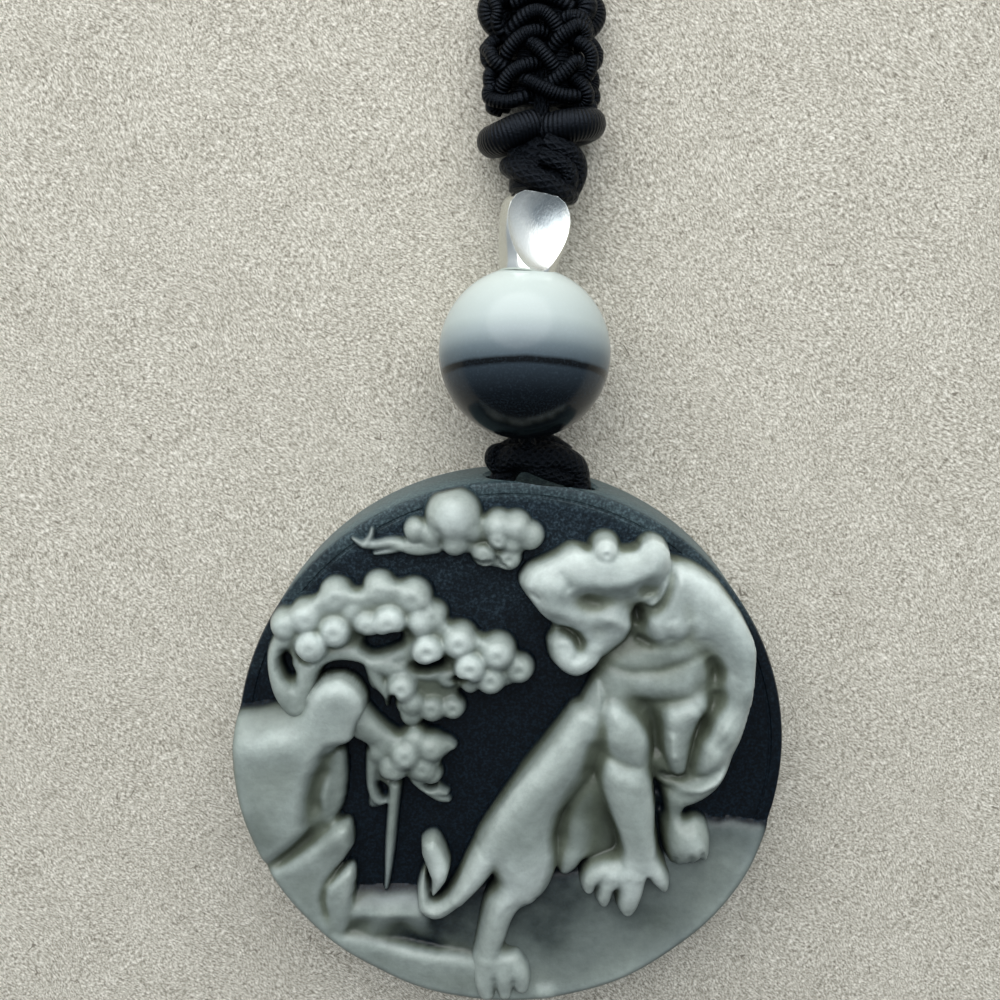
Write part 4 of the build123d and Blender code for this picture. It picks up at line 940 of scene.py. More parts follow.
# %% Sun and clouds
cloud_bodies = [
    Form([(-9, 21.4), (-8.4, 21.9), (-7, 21.6), (-6, 22.6), (-4, 22.8), (-2.6, 22.2), (-1.6, 22.4),
          (0.2, 22.2), (1.8, 21.6), (2.6, 20.6), (2.3, 19.6), (1.2, 19.1), (0.8, 18), (-0.4, 17.2),
          (-1.6, 17.5), (-3.2, 17.9), (-3.4, 18.8), (-5.4, 18.8), (-6.2, 19.5), (-7.4, 18.6),
          (-9.4, 18.9)], 0.9,
         [(-8, 20.8, 11), (-5, 19.8, 11.2), (-2.4, 20.6, 11.2), (0.6, 20.6, 11.4), (-0.6, 18.4, 10.9),
          (-2.6, 18.6, 10.9), (-7.4, 19.4, 10.7), (1.6, 20.2, 11.1)]),
    Ball(-5, 22.1, 12.6, 2.5, 0),
    Ball(-8.3, 20.9, 11.4, 1.05, 0),
    Ball(-6.9, 20.5, 11.5, 1, 0),
    Ball(-4.9, 19.9, 11.9, 1.2, 0),
    Ball(-3.4, 20.9, 11.7, 0.9, 0),
    Trail([(-6.6, 19.5, 11.1, 0.7), (-8.6, 19.1, 10.9, 0.6), (-10.2, 19.8, 10.7, 0.45),
           (-11.8, 19.5, 10.5, 0.4), (-13, 19.4, 10.2, 0.35), (-13.9, 20, 10, 0.15)]),
    Trail([(-12.9, 19.5, 10.3, 0.3), (-12.3, 20.2, 10.3, 0.25), (-12.2, 20.9, 10.1, 0.15)]),
    Trail([(-9.6, 19.3, 10.6, 0.3), (-10.8, 18.9, 10.4, 0.25), (-12, 18.7, 10.2, 0.15)]),
    Ball(-1.1, 21.3, 12.1, 1.35, 0),
    Ball(0.4, 21.2, 12, 1.35, 0),
    Ball(1.6, 20.4, 11.7, 1.25, 0),
    Ball(-1.15, 20.2, 12.1, 0.85, 0.15),
    Ball(0, 19.7, 11.7, 0.8, 0),
    Ball(-2.3, 18.8, 11.6, 1.15, 0.1),
    Ball(-0.2, 18.4, 11.6, 1.05, 0.25),
]
cloud_strokes = [
    Stroke(0.25, -0.4, [(-3.3, 19.8), (-2.2, 20), (-1.2, 19.2), (-0.2, 19.2)]),
    Stroke(0.25, -0.3, [(-6.6, 21.6), (-6, 20.6), (-5.9, 19.4)]),
    Stroke(0.25, -0.9, [(-3.6, 18.4), (-2.6, 18), (-1.6, 18.2)]),
    Stroke(0.2, -0.7, [(-1.3, 18.8), (-0.9, 18), (-0.3, 17.6)]),
]
cloud_softness = 0.6

# %% Sun and clouds piece
cloud_patch = Patch(-14.6, 3.6, 16.4, 24.8, 0.11, cloud_softness, 2)
make_relief("sun_and_clouds", cloud_patch, cloud_bodies, cloud_strokes)

# %% [markdown]
# The cliff and the low hills are broad planes that meet in soft ridges and end flush with the
# disc's rim. The outlines run past the rim, and the rim itself cuts them off.

# %% Cliff and hills
cliff_bodies = [
    # upper rock with its thumb
    Form([(-28, 4.2), (-24.4, 4.3), (-22.5, 4.7), (-20.2, 5), (-19, 5.6), (-18, 6.6), (-16.6, 7.7),
          (-15.1, 8), (-13.9, 7.4), (-13, 6.2), (-12.8, 4.8), (-13.7, 3.3), (-14, 1.8), (-15.4, 1.1),
          (-16.9, 0), (-17.6, -2), (-18.2, -4.2), (-18.5, -6), (-18.3, -7), (-20, -8.8), (-22.2, -10.9),
          (-28, -13)], 1.3,
         [(-26, 3.8, 10.6), (-23, 4, 10.6), (-20.4, 4.4, 10.9), (-18, 5.2, 12.2), (-15.6, 6.4, 13.1),
          (-14.2, 5, 12.9), (-15.4, 3.2, 12.8), (-24, 2.2, 12.2), (-20.6, 2.4, 12.6), (-18, 2.4, 12.6),
          (-24.5, -1, 12.2), (-21, -1, 12.6), (-18.6, -1.2, 12.4), (-24.2, -5, 12), (-20.4, -4.8, 12.4),
          (-23, -8.4, 11.6), (-20.4, -7.4, 12.2), (-19, -6, 12.2), (-26, -8, 11.2)]),
    # recessed ribs to its right
    Form([(-18.6, 0.6), (-16.4, 0.8), (-15, 0.9), (-14.8, -0.6), (-14.85, -2.4), (-15.1, -4.4),
          (-15.6, -5.8), (-17.1, -6.9), (-19, -7.4), (-19.6, -4)], 0.9,
         [(-17.6, -0.8, 11.4), (-15.8, -0.6, 11.1), (-18, -3.4, 11.5), (-16, -3.4, 11), (-17.8, -6.2, 11.2),
          (-16.2, -5.6, 10.9)]),
    # bed of the crease between the rocks
    Trail([(-25, -12.4, 10.9, 1.6), (-21.4, -10.4, 11, 1.4), (-18.6, -8, 11, 1.1),
           (-16.6, -6.4, 10.9, 0.8)]),
    # second rock
    Form([(-28, -11), (-21.9, -11), (-18.4, -8.6), (-15.7, -6.3), (-14.6, -6.3), (-14.3, -8.6),
          (-15.2, -10.2), (-16.6, -12), (-16.9, -14.5), (-16.2, -17.5), (-18, -22), (-28, -18)], 1.1,
         [(-21.6, -11.9, 11.3), (-18.2, -9.6, 11.9), (-15.4, -7.4, 12.1), (-16.2, -9.8, 11.5),
          (-19.5, -12.6, 11.4), (-17.8, -14.6, 11.2), (-19, -16.8, 10.9), (-23, -13, 11)]),
    # third rock
    Form([(-17.4, -12.6), (-15.8, -11.2), (-14.6, -10.6), (-14.2, -11.4), (-14.6, -14), (-14.9, -16.5),
          (-15.4, -18.3), (-17, -18.8), (-17.6, -15)], 0.9,
         [(-15.3, -11.8, 11.5), (-16.3, -13.6, 11.4), (-15.6, -15.6, 11.1), (-16.4, -17.4, 10.8)]),
    # ledge with its step
    Form([(-16.4, -13.7), (-12, -13.4), (-7.6, -13.5), (-7.2, -15.5), (-7.4, -18.5), (-5, -21.5),
          (-14, -21.5), (-16.6, -18)], 1.2,
         [(-14.4, -14.2, 9.9), (-11.4, -14, 9.85), (-8.4, -14.2, 9.8), (-14.4, -15.7, 10.8),
          (-11, -15.7, 10.8), (-8.4, -15.8, 10.6), (-14, -16.9, 10.1), (-10.5, -17, 9.95), (-8, -17.8, 9.8),
          (-13.5, -17.8, 10.2)]),
    # ridge below the ledge
    Form([(-18, -17.4), (-15.4, -17.7), (-13.2, -18.2), (-10.6, -18.9), (-7, -19.7), (-3.8, -20),
          (-1.6, -21.5), (1, -24), (3, -28), (-16, -28), (-22, -19)], 1,
         [(-15.2, -18.8, 10.9), (-9.6, -20.3, 11), (-4.6, -21.3, 10.9), (-12, -21.2, 10.6),
          (-4, -23.8, 10.6), (0, -25, 10.4)]),
    # plateau and hill to the right
    Form([(-9, -15.4), (-7, -13.8), (-3, -13.6), (2, -12.4), (8, -11.4), (13, -11), (15, -9), (15.9, -6.9),
          (16.6, -6.1), (17.7, -6.1), (18.8, -6.8), (20.2, -6.5), (22.6, -7), (28, -7.4), (28, -20),
          (14, -28), (4, -28), (-4, -28), (-6, -20), (-10, -18)], 1.2,
         [(-5.6, -17.4, 9.6), (-3.6, -14.4, 9.6), (1.4, -17.4, 9.75), (3.6, -15, 9.7), (8, -16, 9.95),
          (13, -14, 10.1), (17, -12, 10.2), (20, -8.4, 10.1), (23.6, -8.4, 10.1), (22.6, -11.6, 10.6),
          (18.4, -17.2, 10.6), (10.6, -22.2, 10.6), (2, -24.4, 10.5), (4, -20, 9.9), (14, -17, 10),
          (-3, -22, 10.2)]),
]
cliff_strokes = [
    Stroke(0.8, -0.6, [(-16.2, -0.6), (-17.4, -1.8), (-18, -3.8), (-17.6, -6)]),
    Stroke(0.35, 0.35, [(-16.6, -2.2), (-16.9, -3.8), (-16.8, -5.4)]),
    Stroke(0.4, -0.5, [(-22.4, -11.1), (-20.4, -9.6), (-18.6, -8), (-17.4, -6.8)]),
    Stroke(0.25, -0.7, [(-17, -12.6), (-15.9, -11.4), (-14.9, -10.4)]),
    Stroke(0.25, -0.5, [(-17.1, -12.4), (-17.4, -14.2), (-17, -16.6)]),
    Stroke(0.45, -0.5, [(-14.6, 1.4), (-16.4, 1.2), (-17.4, -0.4)]),
    Stroke(0.4, -0.5, [(-20, 4.4), (-18.8, 4.6), (-18, 5.8)]),
    Stroke(0.7, 0.4, [(2.2, -23.9), (3.3, -23.9), (4.4, -23.7)]),
    Stroke(0.3, 0.15, [(-14.4, -15.9), (-11, -15.8), (-8.2, -15.9)]),
]
cliff_softness = 0.5

# %% Cliff and hills piece
cliff_patch = Patch(-25.2, 25.2, -25.2, 8.8, 0.19, cliff_softness, 3)
make_relief("cliff_and_hills", cliff_patch, cliff_bodies, cliff_strokes)

# %% [markdown]
# The round bead is cut from the same two-layer rock, and the lapidary kept the border between
# the layers as a pattern: a thin black seam crosses it, with cloudy pale stone above and dark
# stone below. The layers lie a little aslant in the bead, so the seam is a plane in the stone,
# not a painted line. The bead is ground round, drilled along the cord and polished bright.

# %% Stone bead
BEAD_CENTRE = Vector((1.2, 36.1, 7.5))
BEAD_RADIUS = 7.5
BORE_RADIUS = 1.05
BORE_CHAMFER = 0.15
SEAM_PLACE = 34.0
SEAM_TILT = Vector((0.02, 1.0, -0.34))
SEAM_WANDER = 0.12
FLECK_SCALE = 5200.0
BAND_SPAN = (-5.0, 8.0)
# bands from the end that faces the disc: the dark stone falls to near black at that end, away from the
# window, as painted shade; then the black seam and the pale stone
BAND_AND_PAINTED_SHADE_STOPS = [
    (0.0, "#070B0E"), (0.16, "#10171D"), (0.33, "#2B353D"), (0.352, "#03070B"), (0.378, "#03070B"),
    (0.40, "#4A565D"), (0.47, "#626E73"), (0.56, "#8B9697"), (0.68, "#A6B0AD"), (0.95, "#B4BDB8"),
]


def bead_finish():
    """Bands of colour by the distance from the seam's plane, with painted shade in the dark end, polished
    bright.
    """
    finish, tree, shader, place = new_finish("banded_polished_stone")
    # how far a point lies above the seam's plane, which wanders a little
    along = vectors(tree, "DOT_PRODUCT", place, SEAM_TILT)["Value"]
    wander = metres((-SEAM_WANDER, SEAM_WANDER))
    drift = carry(tree, noise(tree, place, 350.0, 3.0), wanted=wander)
    bent = maths(tree, "ADD", along, drift)
    seam = SEAM_TILT.dot(Vector((BEAD_CENTRE.x, SEAM_PLACE, BEAD_CENTRE.z))) * MM
    share = carry(tree, bent, [seam + edge * MM for edge in BAND_SPAN])
    bands_and_painted_shade = ramp(tree, share, BAND_AND_PAINTED_SHADE_STOPS)
    # faint pale grains about 0.2 mm wide show only where the stone is dark
    grains = noise(tree, place, FLECK_SCALE, 4.0)
    flecks = ramp(tree, grains, [(0.5, "#000000"), (0.8, "#1C242A")])
    join(tree, shader, {
        "Base Color": mix(tree, 1.0, bands_and_painted_shade, flecks, "ADD"),
        "Roughness": 0.17,
        "Specular IOR Level": 0.28,
        "Subsurface Weight": 0.1,
        "Subsurface Radius": STONE_GLOW,
        "Subsurface Scale": 0.15 * MM,
    })
    return finish


def make_stone_bead():
    """A drilled ball, turned as one profile of bore and skin."""
    bm = bmesh.new()
    low = math.asin((BORE_RADIUS + BORE_CHAMFER) / BEAD_RADIUS)
    arc = [low + (math.pi - 2 * low) * step / 64 for step in range(65)]
    outside = [RimPoint(BEAD_RADIUS * math.sin(turn), -BEAD_RADIUS * math.cos(turn)) for turn in arc]
    depth = BEAD_RADIUS * math.cos(low) - BORE_CHAMFER
    bore = [RimPoint(BORE_RADIUS, depth), RimPoint(BORE_RADIUS, -depth)]
    spin_profile(bm, [bore[1], *outside, *bore], 128)
    bmesh.ops.rotate(bm, verts=bm.verts, matrix=Matrix.Rotation(-math.pi / 2, 3, "X"))
    bmesh.ops.translate(bm, verts=bm.verts, vec=BEAD_CENTRE)
    dress(finish_mesh(bm, "stone_bead"), bead_finish(), ["stone_bead"])


make_stone_bead()

# %% [markdown]
# The silver bead is turned with a narrow neck and a full shoulder, then three shallow dishes are
# milled into its sides and brushed, while the skin between them stays mirror bright. Each dish
# comes from an egg-shaped cutter set nearer to the shoulder than to the neck. Its edge is broad
# at the shoulder and pointed at the neck, and a small bevel there catches the light.

# %% Silver bead
SILVER_CENTRE = Vector((1.77, 46.0, 6.69))
STRING_AXIS = Vector((0.1235, 0.955, -0.24)).normalized()
DISH_HALVES = Vector((4.3, 5.2, 3.0))
FRONT_FLOOR = 1.05
SIDE_FLOOR = 2.0
DISH_PLACE = 1.0
DISH_LEAN = 12.0
FRONT_TURN = 14.0
SIDE_TURNS = (120.0, -120.0)
BRUSH_SCALE = 9000.0
DISH_RIM_ANGLE = 25
DISH_BEVEL = 0.05
# where the painted dark reflection lies on the shoulder, and how far it reaches
PAINTED_REFLECTION_PLACE = Vector((3.3, 48.2, 8.4))
PAINTED_REFLECTION_SPAN = (0.6, 3.4)
silver_profile = [RimPoint(*row) for row in (
    (0.85, -3.4), (2.35, -3.4), (2.48, -3.27), (2.5, -2.7), (2.6, -2.0), (2.82, -1.2), (3.08, -0.3),
    (3.24, 0.6), (3.28, 1.5), (3.15, 2.3), (2.8, 3.0), (2.2, 3.5), (1.6, 3.6), (0.85, 3.6),
    (0.85, -3.4),
)]


def dish_cutter(turn, floor, lean):
    """Where a dish's egg-shaped cutter sits, turned round the string and leaning in its plane."""
    forward = Vector((0, 0, 1)) - STRING_AXIS * STRING_AXIS.z
    forward.normalize()
    forward.rotate(Matrix.Rotation(math.radians(turn), 3, STRING_AXIS))
    place = SILVER_CENTRE + STRING_AXIS * DISH_PLACE + forward * (floor + DISH_HALVES.z)
    sideways = STRING_AXIS.cross(forward)
    axes = Matrix((sideways, STRING_AXIS, forward)).transposed().to_4x4()
    leaning = Matrix.Rotation(math.radians(lean), 4, "Z") @ Matrix.Diagonal((*DISH_HALVES, 1))
    return Matrix.Translation(place) @ axes @ leaning


def silver_finish():
    """Mirror bright silver, brushed in the front dish, with a painted dark reflection on the shoulder."""
    finish, tree, shader, place = new_finish("polished_and_brushed_silver")
    brushed = node(tree, "ShaderNodeAttribute", {"attribute_name": "brushed"}).outputs["Fac"]
    # brush marks are noise drawn out along the dish
    inputs = {"Vector": place, "Rotation": (0.0, 0.0, 0.3), "Scale": (1.0, 0.35, 1.0)}
    drawn = node(tree, "ShaderNodeMapping", None, inputs).outputs[0]
    marks = noise(tree, drawn, BRUSH_SCALE, 3.0)
    # a painted dark reflection lies round one place of the shoulder, in small patches
    away = vectors(tree, "DISTANCE", place, PAINTED_REFLECTION_PLACE * MM)["Value"]
    beyond_painted_reflection = carry(tree, away, metres(PAINTED_REFLECTION_SPAN))
    painted_reflection_patches = maths(tree, "MULTIPLY_ADD", noise(tree, place, 500.0, 3.0), 0.5, beyond_painted_reflection)
    depth = carry(tree, brushed, wanted=(0.05, 0.9))
    join(tree, shader, {
        # the darker tones are the painted dark reflection
        "Base Color": ramp(tree, painted_reflection_patches, [(0.2, "#4E5559"), (0.6, "#8F9698"), (1.0, "#DCDED9")]),
        "Roughness": carry(tree, brushed, wanted=(0.16, 0.27)),
        "Normal": bump(tree, marks, depth, 0.02),
        "Metallic": 1.0,
    })
    return finish


def make_silver_bead():
    """The turned bead with its three dishes, and a small bevel round each of them."""
    bm = bmesh.new()
    spin_profile(bm, silver_profile, 96)
    along_z = Vector((0, 0, 1)).rotation_difference(STRING_AXIS)
    bmesh.ops.rotate(bm, verts=bm.verts, matrix=along_z.to_matrix())
    bmesh.ops.translate(bm, verts=bm.verts, vec=SILVER_CENTRE)
    piece = finish_mesh(bm, "silver_bead")
    front = dish_cutter(FRONT_TURN, FRONT_FLOOR, DISH_LEAN)
    sides = [dish_cutter(FRONT_TURN + turn, SIDE_FLOOR, 0.0) for turn in SIDE_TURNS]
    for cutter in (front, *sides):
        bm = bmesh.new()
        bmesh.ops.create_uvsphere(bm, u_segments=192, v_segments=96, radius=1.0, matrix=cutter)
        cut_away(piece, finish_mesh(bm, "dish_cutter"))
    bm = bmesh.new()
    bm.from_mesh(piece.data)
    bm.normal_update()
    rims = [edge for edge in bm.edges
            if edge.is_manifold and edge.calc_face_angle() > math.radians(DISH_RIM_ANGLE)]
    bmesh.ops.bevel(bm, geom=rims, offset=DISH_BEVEL * MM, segments=2, profile=0.5, affect="EDGES",
                    material=-1, clamp_overlap=True)
    bm.to_mesh(piece.data)
    bm.free()
    shade_by_angle(piece, 40)
    # the front dish is brushed: its faces are those that lie on the cutter's skin
    to_cutter = (Matrix.Scale(MM, 4) @ front).inverted()
    on_dish = [float(abs((to_cutter @ face.center).length - 1.0) < 0.004)
               for face in piece.data.polygons]
    piece.data.attributes.new("brushed", "FLOAT", "FACE").data.foreach_set("value", on_dish)
    print("silver bead:", int(sum(on_dish)), "brushed faces of", len(on_dish))
    dress(piece, silver_finish(), ["silver_bead"])


make_silver_bead()

# %% [markdown]
# Every cord here is black polyester. A cord is a smooth line through a few given points, read
# off a NURBS spline, with a round section swept along it. The sweep also gives each cord its own
# coordinates, once round it and along it in millimetres. The ridges of the twisted or wound
# thread are drawn on these, so they follow every bend.

# %% Cord helpers
Strand = namedtuple("Strand", "radius points")


def smooth_line(points, resolution=8):
    """The points of the smooth NURBS line through given control points."""
    curve = bpy.data.curves.new("line", "CURVE")
    curve.dimensions = "3D"
    curve.resolution_u = resolution
    spline = curve.splines.new("NURBS")
    spline.points.add(len(points) - 1)
    for spot, point in zip(spline.points, points):
        spot.co = (*point, 1)
    spline.order_u = 3
    spline.use_endpoint_u = True
    holder = bpy.data.objects.new("line", curve)
    mesh = bpy.data.meshes.new_from_object(holder)
    line = [vert.co.copy() for vert in mesh.vertices]
    bpy.data.meshes.remove(mesh)
    bpy.data.objects.remove(holder)
    bpy.data.curves.remove(curve)
    return line


def sweep(bm, line, radius, closed=False, sides=12):
    """Sweeps a round section along a line and adds it to the bmesh, with its coordinates."""
    curve = bpy.data.curves.new("sweep", "CURVE")
    curve.dimensions = "3D"
    curve.bevel_depth = radius
    curve.bevel_resolution = (sides - 4) // 2
    curve.use_fill_caps = not closed
    spline = curve.splines.new("POLY")
    spline.points.add(len(line) - 1)
    for spot, point in zip(spline.points, line):
        spot.co = (*point, 1)
    spline.use_cyclic_u = closed
    holder = bpy.data.objects.new("sweep", curve)
    mesh = bpy.data.meshes.new_from_object(holder)
    length = sum((after - before).length for before, after in zip(line, line[1:]))
    flat = np.empty(len(mesh.loops) * 2)
    mesh.uv_layers[0].data.foreach_get("uv", flat)
    # the curve's own first coordinate runs along it and its second one round it
    flat = np.stack([flat[1::2], flat[0::2] * length], axis=1).ravel()
    mesh.uv_layers[0].data.foreach_set("uv", flat)
    bm.from_mesh(mesh)
    bpy.data.meshes.remove(mesh)
    bpy.data.objects.remove(holder)
    bpy.data.curves.remove(curve)


def cord_finish(name, pitch, starts, depth, braided=False):
    """Black thread whose ridges wind round the cord, starts times over each turn."""
    finish, tree, shader, place = new_finish(name)
    coords = node(tree, "ShaderNodeUVMap", {"uv_map": "UVMap"}).outputs["UV"]
    parts = node(tree, "ShaderNodeSeparateXYZ", None, {0: coords}).outputs
    turns = maths(tree, "MULTIPLY", parts["X"], 2 * math.pi * starts)
    along = maths(tree, "MULTIPLY", parts["Y"], 2 * math.pi / pitch)
    height = maths(tree, "SINE", maths(tree, "ADD", along, turns))
    if braided:
        cross = maths(tree, "SINE", maths(tree, "SUBTRACT", along, turns))
        height = maths(tree, "MAXIMUM", height, cross)
    lift = carry(tree, height, (-1.0, 1.0))
    fibres = noise(tree, place, 6500.0, 3.0, 0.6)
    relief = maths(tree, "MULTIPLY_ADD", fibres, 1.4, lift)
    join(tree, shader, {
        # the grooves between the ridges are a touch darker than the ridges: painted shade
        "Base Color": ramp(tree, lift, [(0.3, "#000000"), (0.9, "#05070A")]),
        "Normal": bump(tree, relief, 1.0, depth),
        "Roughness": 0.36,
        "Specular IOR Level": 0.2,
        "Specular Tint": linear("#C8D8F0"),
    })
    return finish


def once_round(steps):
    """The angles of some even steps once round a ring."""
    return [2 * math.pi * step / steps for step in range(steps)]


def finish_cord(bm, name, finish, cad_node):
    """Welds the swept cords of one piece, makes it an object and dresses it."""
    bmesh.ops.remove_doubles(bm, verts=bm.verts, dist=WELD)
    dress(finish_mesh(bm, name), finish, [cad_node])


twisted_finish = cord_finish("twisted_polyester_cord", pitch=0.36, starts=1, depth=0.09)
braided_finish = cord_finish("fine_braided_polyester_cord", pitch=0.75, starts=8, depth=0.17, braided=True)
wound_finish = cord_finish("wound_polyester_thread", pitch=0.27, starts=1, depth=0.06)
print("cord finishes:", twisted_finish.name, braided_finish.name, wound_finish.name)

# %% [markdown]
# The woven knot is a flat plait of one doubled cord with small loops at its sides. Its strands
# pass over and under each other in the same way on both faces, so each strand of the front is
# used again, turned half round, as one of the back. Two straight cords run through its middle.

# %% Woven knot
KNOT_MIDDLE = Vector((2.7, 62.0, 2.6))
STRAND = 0.62
front_strands = [
    Strand(STRAND, [(-0.6, 62.9, 3), (0.2, 63.8, 3.8), (1.4, 64.8, 4.4), (2.4, 65, 4.45), (3.2, 64.6, 4.45),
                    (3.9, 63.8, 4.3), (4.4, 62.9, 3.8), (4.7, 62.1, 3)]),
    Strand(STRAND, [(-0.8, 60.2, 3), (-0.6, 61.2, 3.8), (0, 62.2, 4.35), (0.8, 62.9, 4.45),
                    (1.6, 63.3, 4.4), (2.6, 63.45, 4), (3.4, 63.2, 3.2)]),
    Strand(STRAND, [(0.6, 62.9, 3.1), (1.45, 62.55, 4.1), (2.2, 62.1, 4.45), (2.95, 61.35, 4.5),
                    (3.55, 60.65, 4.4), (4.15, 60, 3.9), (4.5, 59.4, 3)]),
    Strand(STRAND, [(3.2, 61.2, 3), (3.6, 62.1, 3.9), (4.2, 62.9, 4.4), (4.95, 63.4, 4.5),
                    (5.75, 63.9, 4.4), (6.45, 63.4, 4), (6.4, 62.6, 3.4), (5.6, 62.3, 3)]),
    Strand(STRAND, [(3.6, 63.6, 3.2), (4.4, 64.4, 3.9), (5.4, 64.6, 4.2), (6.3, 64.3, 3.9),
                    (6.6, 63.5, 3.2)]),
    Strand(STRAND, [(5.2, 62.9, 3.2), (5.8, 62.5, 4.2), (6.5, 62.1, 4.3), (7, 61.4, 4), (6.95, 60.3, 3.6),
                    (6.4, 59.5, 3.2), (5.6, 59.4, 2.9)]),
    Strand(STRAND, [(2.4, 58.5, 3.2), (3.05, 58.9, 4), (4, 59.5, 4.4), (4.8, 60.1, 4.5), (5.4, 60.8, 4.5),
                    (5.95, 60.8, 4.3), (6.1, 60.2, 3.6), (5.8, 59.6, 3)]),
    Strand(STRAND, [(0.4, 59.7, 3.1), (1.2, 59.4, 4.1), (2.1, 59, 4.45), (3.15, 58.5, 4.5),
                    (4.2, 58.1, 4.4), (5.55, 58, 4), (6.3, 58.2, 3.1)]),
    Strand(STRAND, [(-1.1, 57.4, 2.9), (-0.95, 58.3, 3.7), (-0.6, 59.3, 4.3), (0, 60, 4.45), (1, 60.5, 4.4),
                    (2.1, 60.8, 3.9), (2.8, 60.9, 3.1)]),
    Strand(STRAND, [(4.9, 60, 3), (5.5, 59.6, 3.7), (6.3, 58.9, 3.9), (6.75, 58.1, 3.7), (6.5, 57.4, 3),
                    (5.6, 57.3, 2.6)]),
    Strand(STRAND, [(-1.2, 62.9, 3), (-1.9, 62.4, 3.3), (-2.15, 61.6, 3.2), (-2, 60.9, 3),
                    (-1.2, 60.4, 2.7)]),
    Strand(STRAND, [(-2.2, 62, 3.2), (-1.8, 61.7, 4), (-1.5, 60.9, 4.3), (-0.8, 60.5, 4.2),
                    (-0.1, 59.9, 3.4)]),
    Strand(STRAND, [(-1, 60.6, 3.2), (-1.8, 60.1, 3.6), (-1.9, 59.3, 3.6), (-1.6, 58.6, 3.3),
                    (-0.9, 58.3, 2.8)]),
    Strand(STRAND, [(-1.2, 59.2, 3.2), (-1.9, 58.7, 3.7), (-2, 57.9, 3.9), (-1.3, 57.6, 4.2),
                    (-0.2, 57.5, 4.3), (0.8, 57.8, 4.2), (1.6, 58.2, 3.4)]),
    Strand(STRAND, [(-0.8, 57.8, 2.8), (-1.6, 57.5, 3), (-1.7, 57.1, 2.8), (-0.9, 57, 2.5)]),
    Strand(0.95, [(-0.6, 66.4, 2.9), (-1.7, 66, 3.3), (-2.1, 65, 3.3), (-1.5, 63.9, 3.1),
                  (-0.5, 63.3, 2.7)]),
    Strand(0.5, [(-1.9, 66.4, 3.9), (-1.4, 65.6, 4.3), (-1.1, 64.9, 4.3), (-1.5, 64, 4),
                 (-0.8, 63.2, 3.5)]),
    Strand(0.95, [(5.8, 66.4, 2.9), (6.5, 65.9, 3.2), (6.5, 65, 3.2), (5.8, 64.4, 2.8)]),
    Strand(STRAND, [(0.2, 65.6, 3.4), (1.2, 66.2, 4), (2.6, 66.3, 4.2), (4, 66, 4.2), (5.2, 65.3, 3.6)]),
]
core_strands = [
    Strand(1.35, [(1.3, 57.4, 2.6), (1.3, 62, 2.6), (1.3, 66.5, 2.6)]),
    Strand(1.35, [(4.1, 57.4, 2.6), (4.1, 62, 2.6), (4.1, 66.5, 2.6)]),
]


def make_woven_knot():
    """The plait's front strands, the same again as its back, and the two cords inside."""
    bm = bmesh.new()
    for strand in front_strands:
        front = smooth_line(strand.points)
        back = [Vector((2 * KNOT_MIDDLE.x - spot.x, spot.y, 2 * KNOT_MIDDLE.z - spot.z))
                for spot in front]
        for line in (front, back):
            sweep(bm, line, strand.radius)
    for strand in core_strands:
        sweep(bm, smooth_line(strand.points), strand.radius)
    finish_cord(bm, "woven_knot", twisted_finish, "woven_knot")


make_woven_knot()

# %% [markdown]
# Below the plait, the ends are bound by two thick rolls wound with fine thread. They bend round
# the cords and meet in front in a shallow V. Below them is a short collar, which rests on the
# silver bead: two upright ends of the cord, a fine braided cord laid slantwise round them in a
# few turns, and one closed turn at the foot.

# %% Wound ring and collar
ring_rolls = [
    Strand(1.42, [(2.9, 55, 1.6), (0.8, 54.9, 1.55), (-1.2, 54.4, 1.8), (-1.75, 54.2, 3.4),
                  (-0.9, 54.4, 5.2), (0.8, 55.2, 5.35), (2, 55.5, 4.6)]),
    Strand(1.42, [(2.5, 55, 1.6), (4.6, 55.1, 1.55), (6.5, 55.5, 1.8), (7.1, 55.8, 3.4), (6.3, 55.6, 5.2),
                  (4.4, 55.4, 5.4), (3, 55.1, 4.5)]),
]
COLLAR_MIDDLE = Vector((2.45, 50.85, 4.85))
collar_turns = [
    Strand(1.8, [(1.6, 49.9, 5), (1.7, 52.2, 4.5), (2, 54.6, 3.9)]),
    Strand(1.7, [(3.9, 50.3, 4.8), (4, 52.4, 4.5), (4, 54.6, 3.9)]),
    Strand(0.8, [(3, 54.2, 5.6), (4.2, 53.6, 6), (5.3, 53.2, 5.8), (5.9, 52.2, 5.2), (5.8, 50.9, 4.9),
                 (5.2, 49.9, 4.8)]),
    Strand(0.8, [(2.6, 52.9, 5.9), (3.9, 52.5, 6.3), (4.9, 51.9, 6.1), (5.2, 50.9, 5.8), (4.8, 49.9, 5.2)]),
    Strand(0.75, [(0.6, 53.9, 5), (0.2, 52.9, 5.4), (0.9, 52.1, 6), (2.2, 51.6, 6.4)]),
]


def make_wound_ring():
    """Two thick rolls that meet in front."""
    bm = bmesh.new()
    for roll in ring_rolls:
        sweep(bm, smooth_line(roll.points, resolution=12), roll.radius, sides=20)
    finish_cord(bm, "wound_ring", wound_finish, "wound_ring")


def make_collar():
    """The upright ends, the slanting turns and the closed turn at the foot."""
    bm = bmesh.new()
    for turn in collar_turns:
        sweep(bm, smooth_line(turn.points), turn.radius, sides=16)
    slant = Vector((2.6, -1.2, 0))
    depth = Vector((0, 0, 2.0))
    band = [COLLAR_MIDDLE + slant * math.cos(turn) + depth * math.sin(turn)
            for turn in once_round(48)]
    sweep(bm, band, 0.9, closed=True, sides=16)
    finish_cord(bm, "collar", braided_finish, "collar_wrap")


make_wound_ring()
make_collar()

# %% [markdown]
# The pendant hangs from a doubled braided cord. It passes through the curved hole in the rim,
# and above the stone both ends are tied in one overhand knot, under the round bead. The thin
# thread that carries the beads goes straight up from the knot. The loop is a closed ring, and
# the knot is four short cords laid over it, because only its outer turns can be seen.

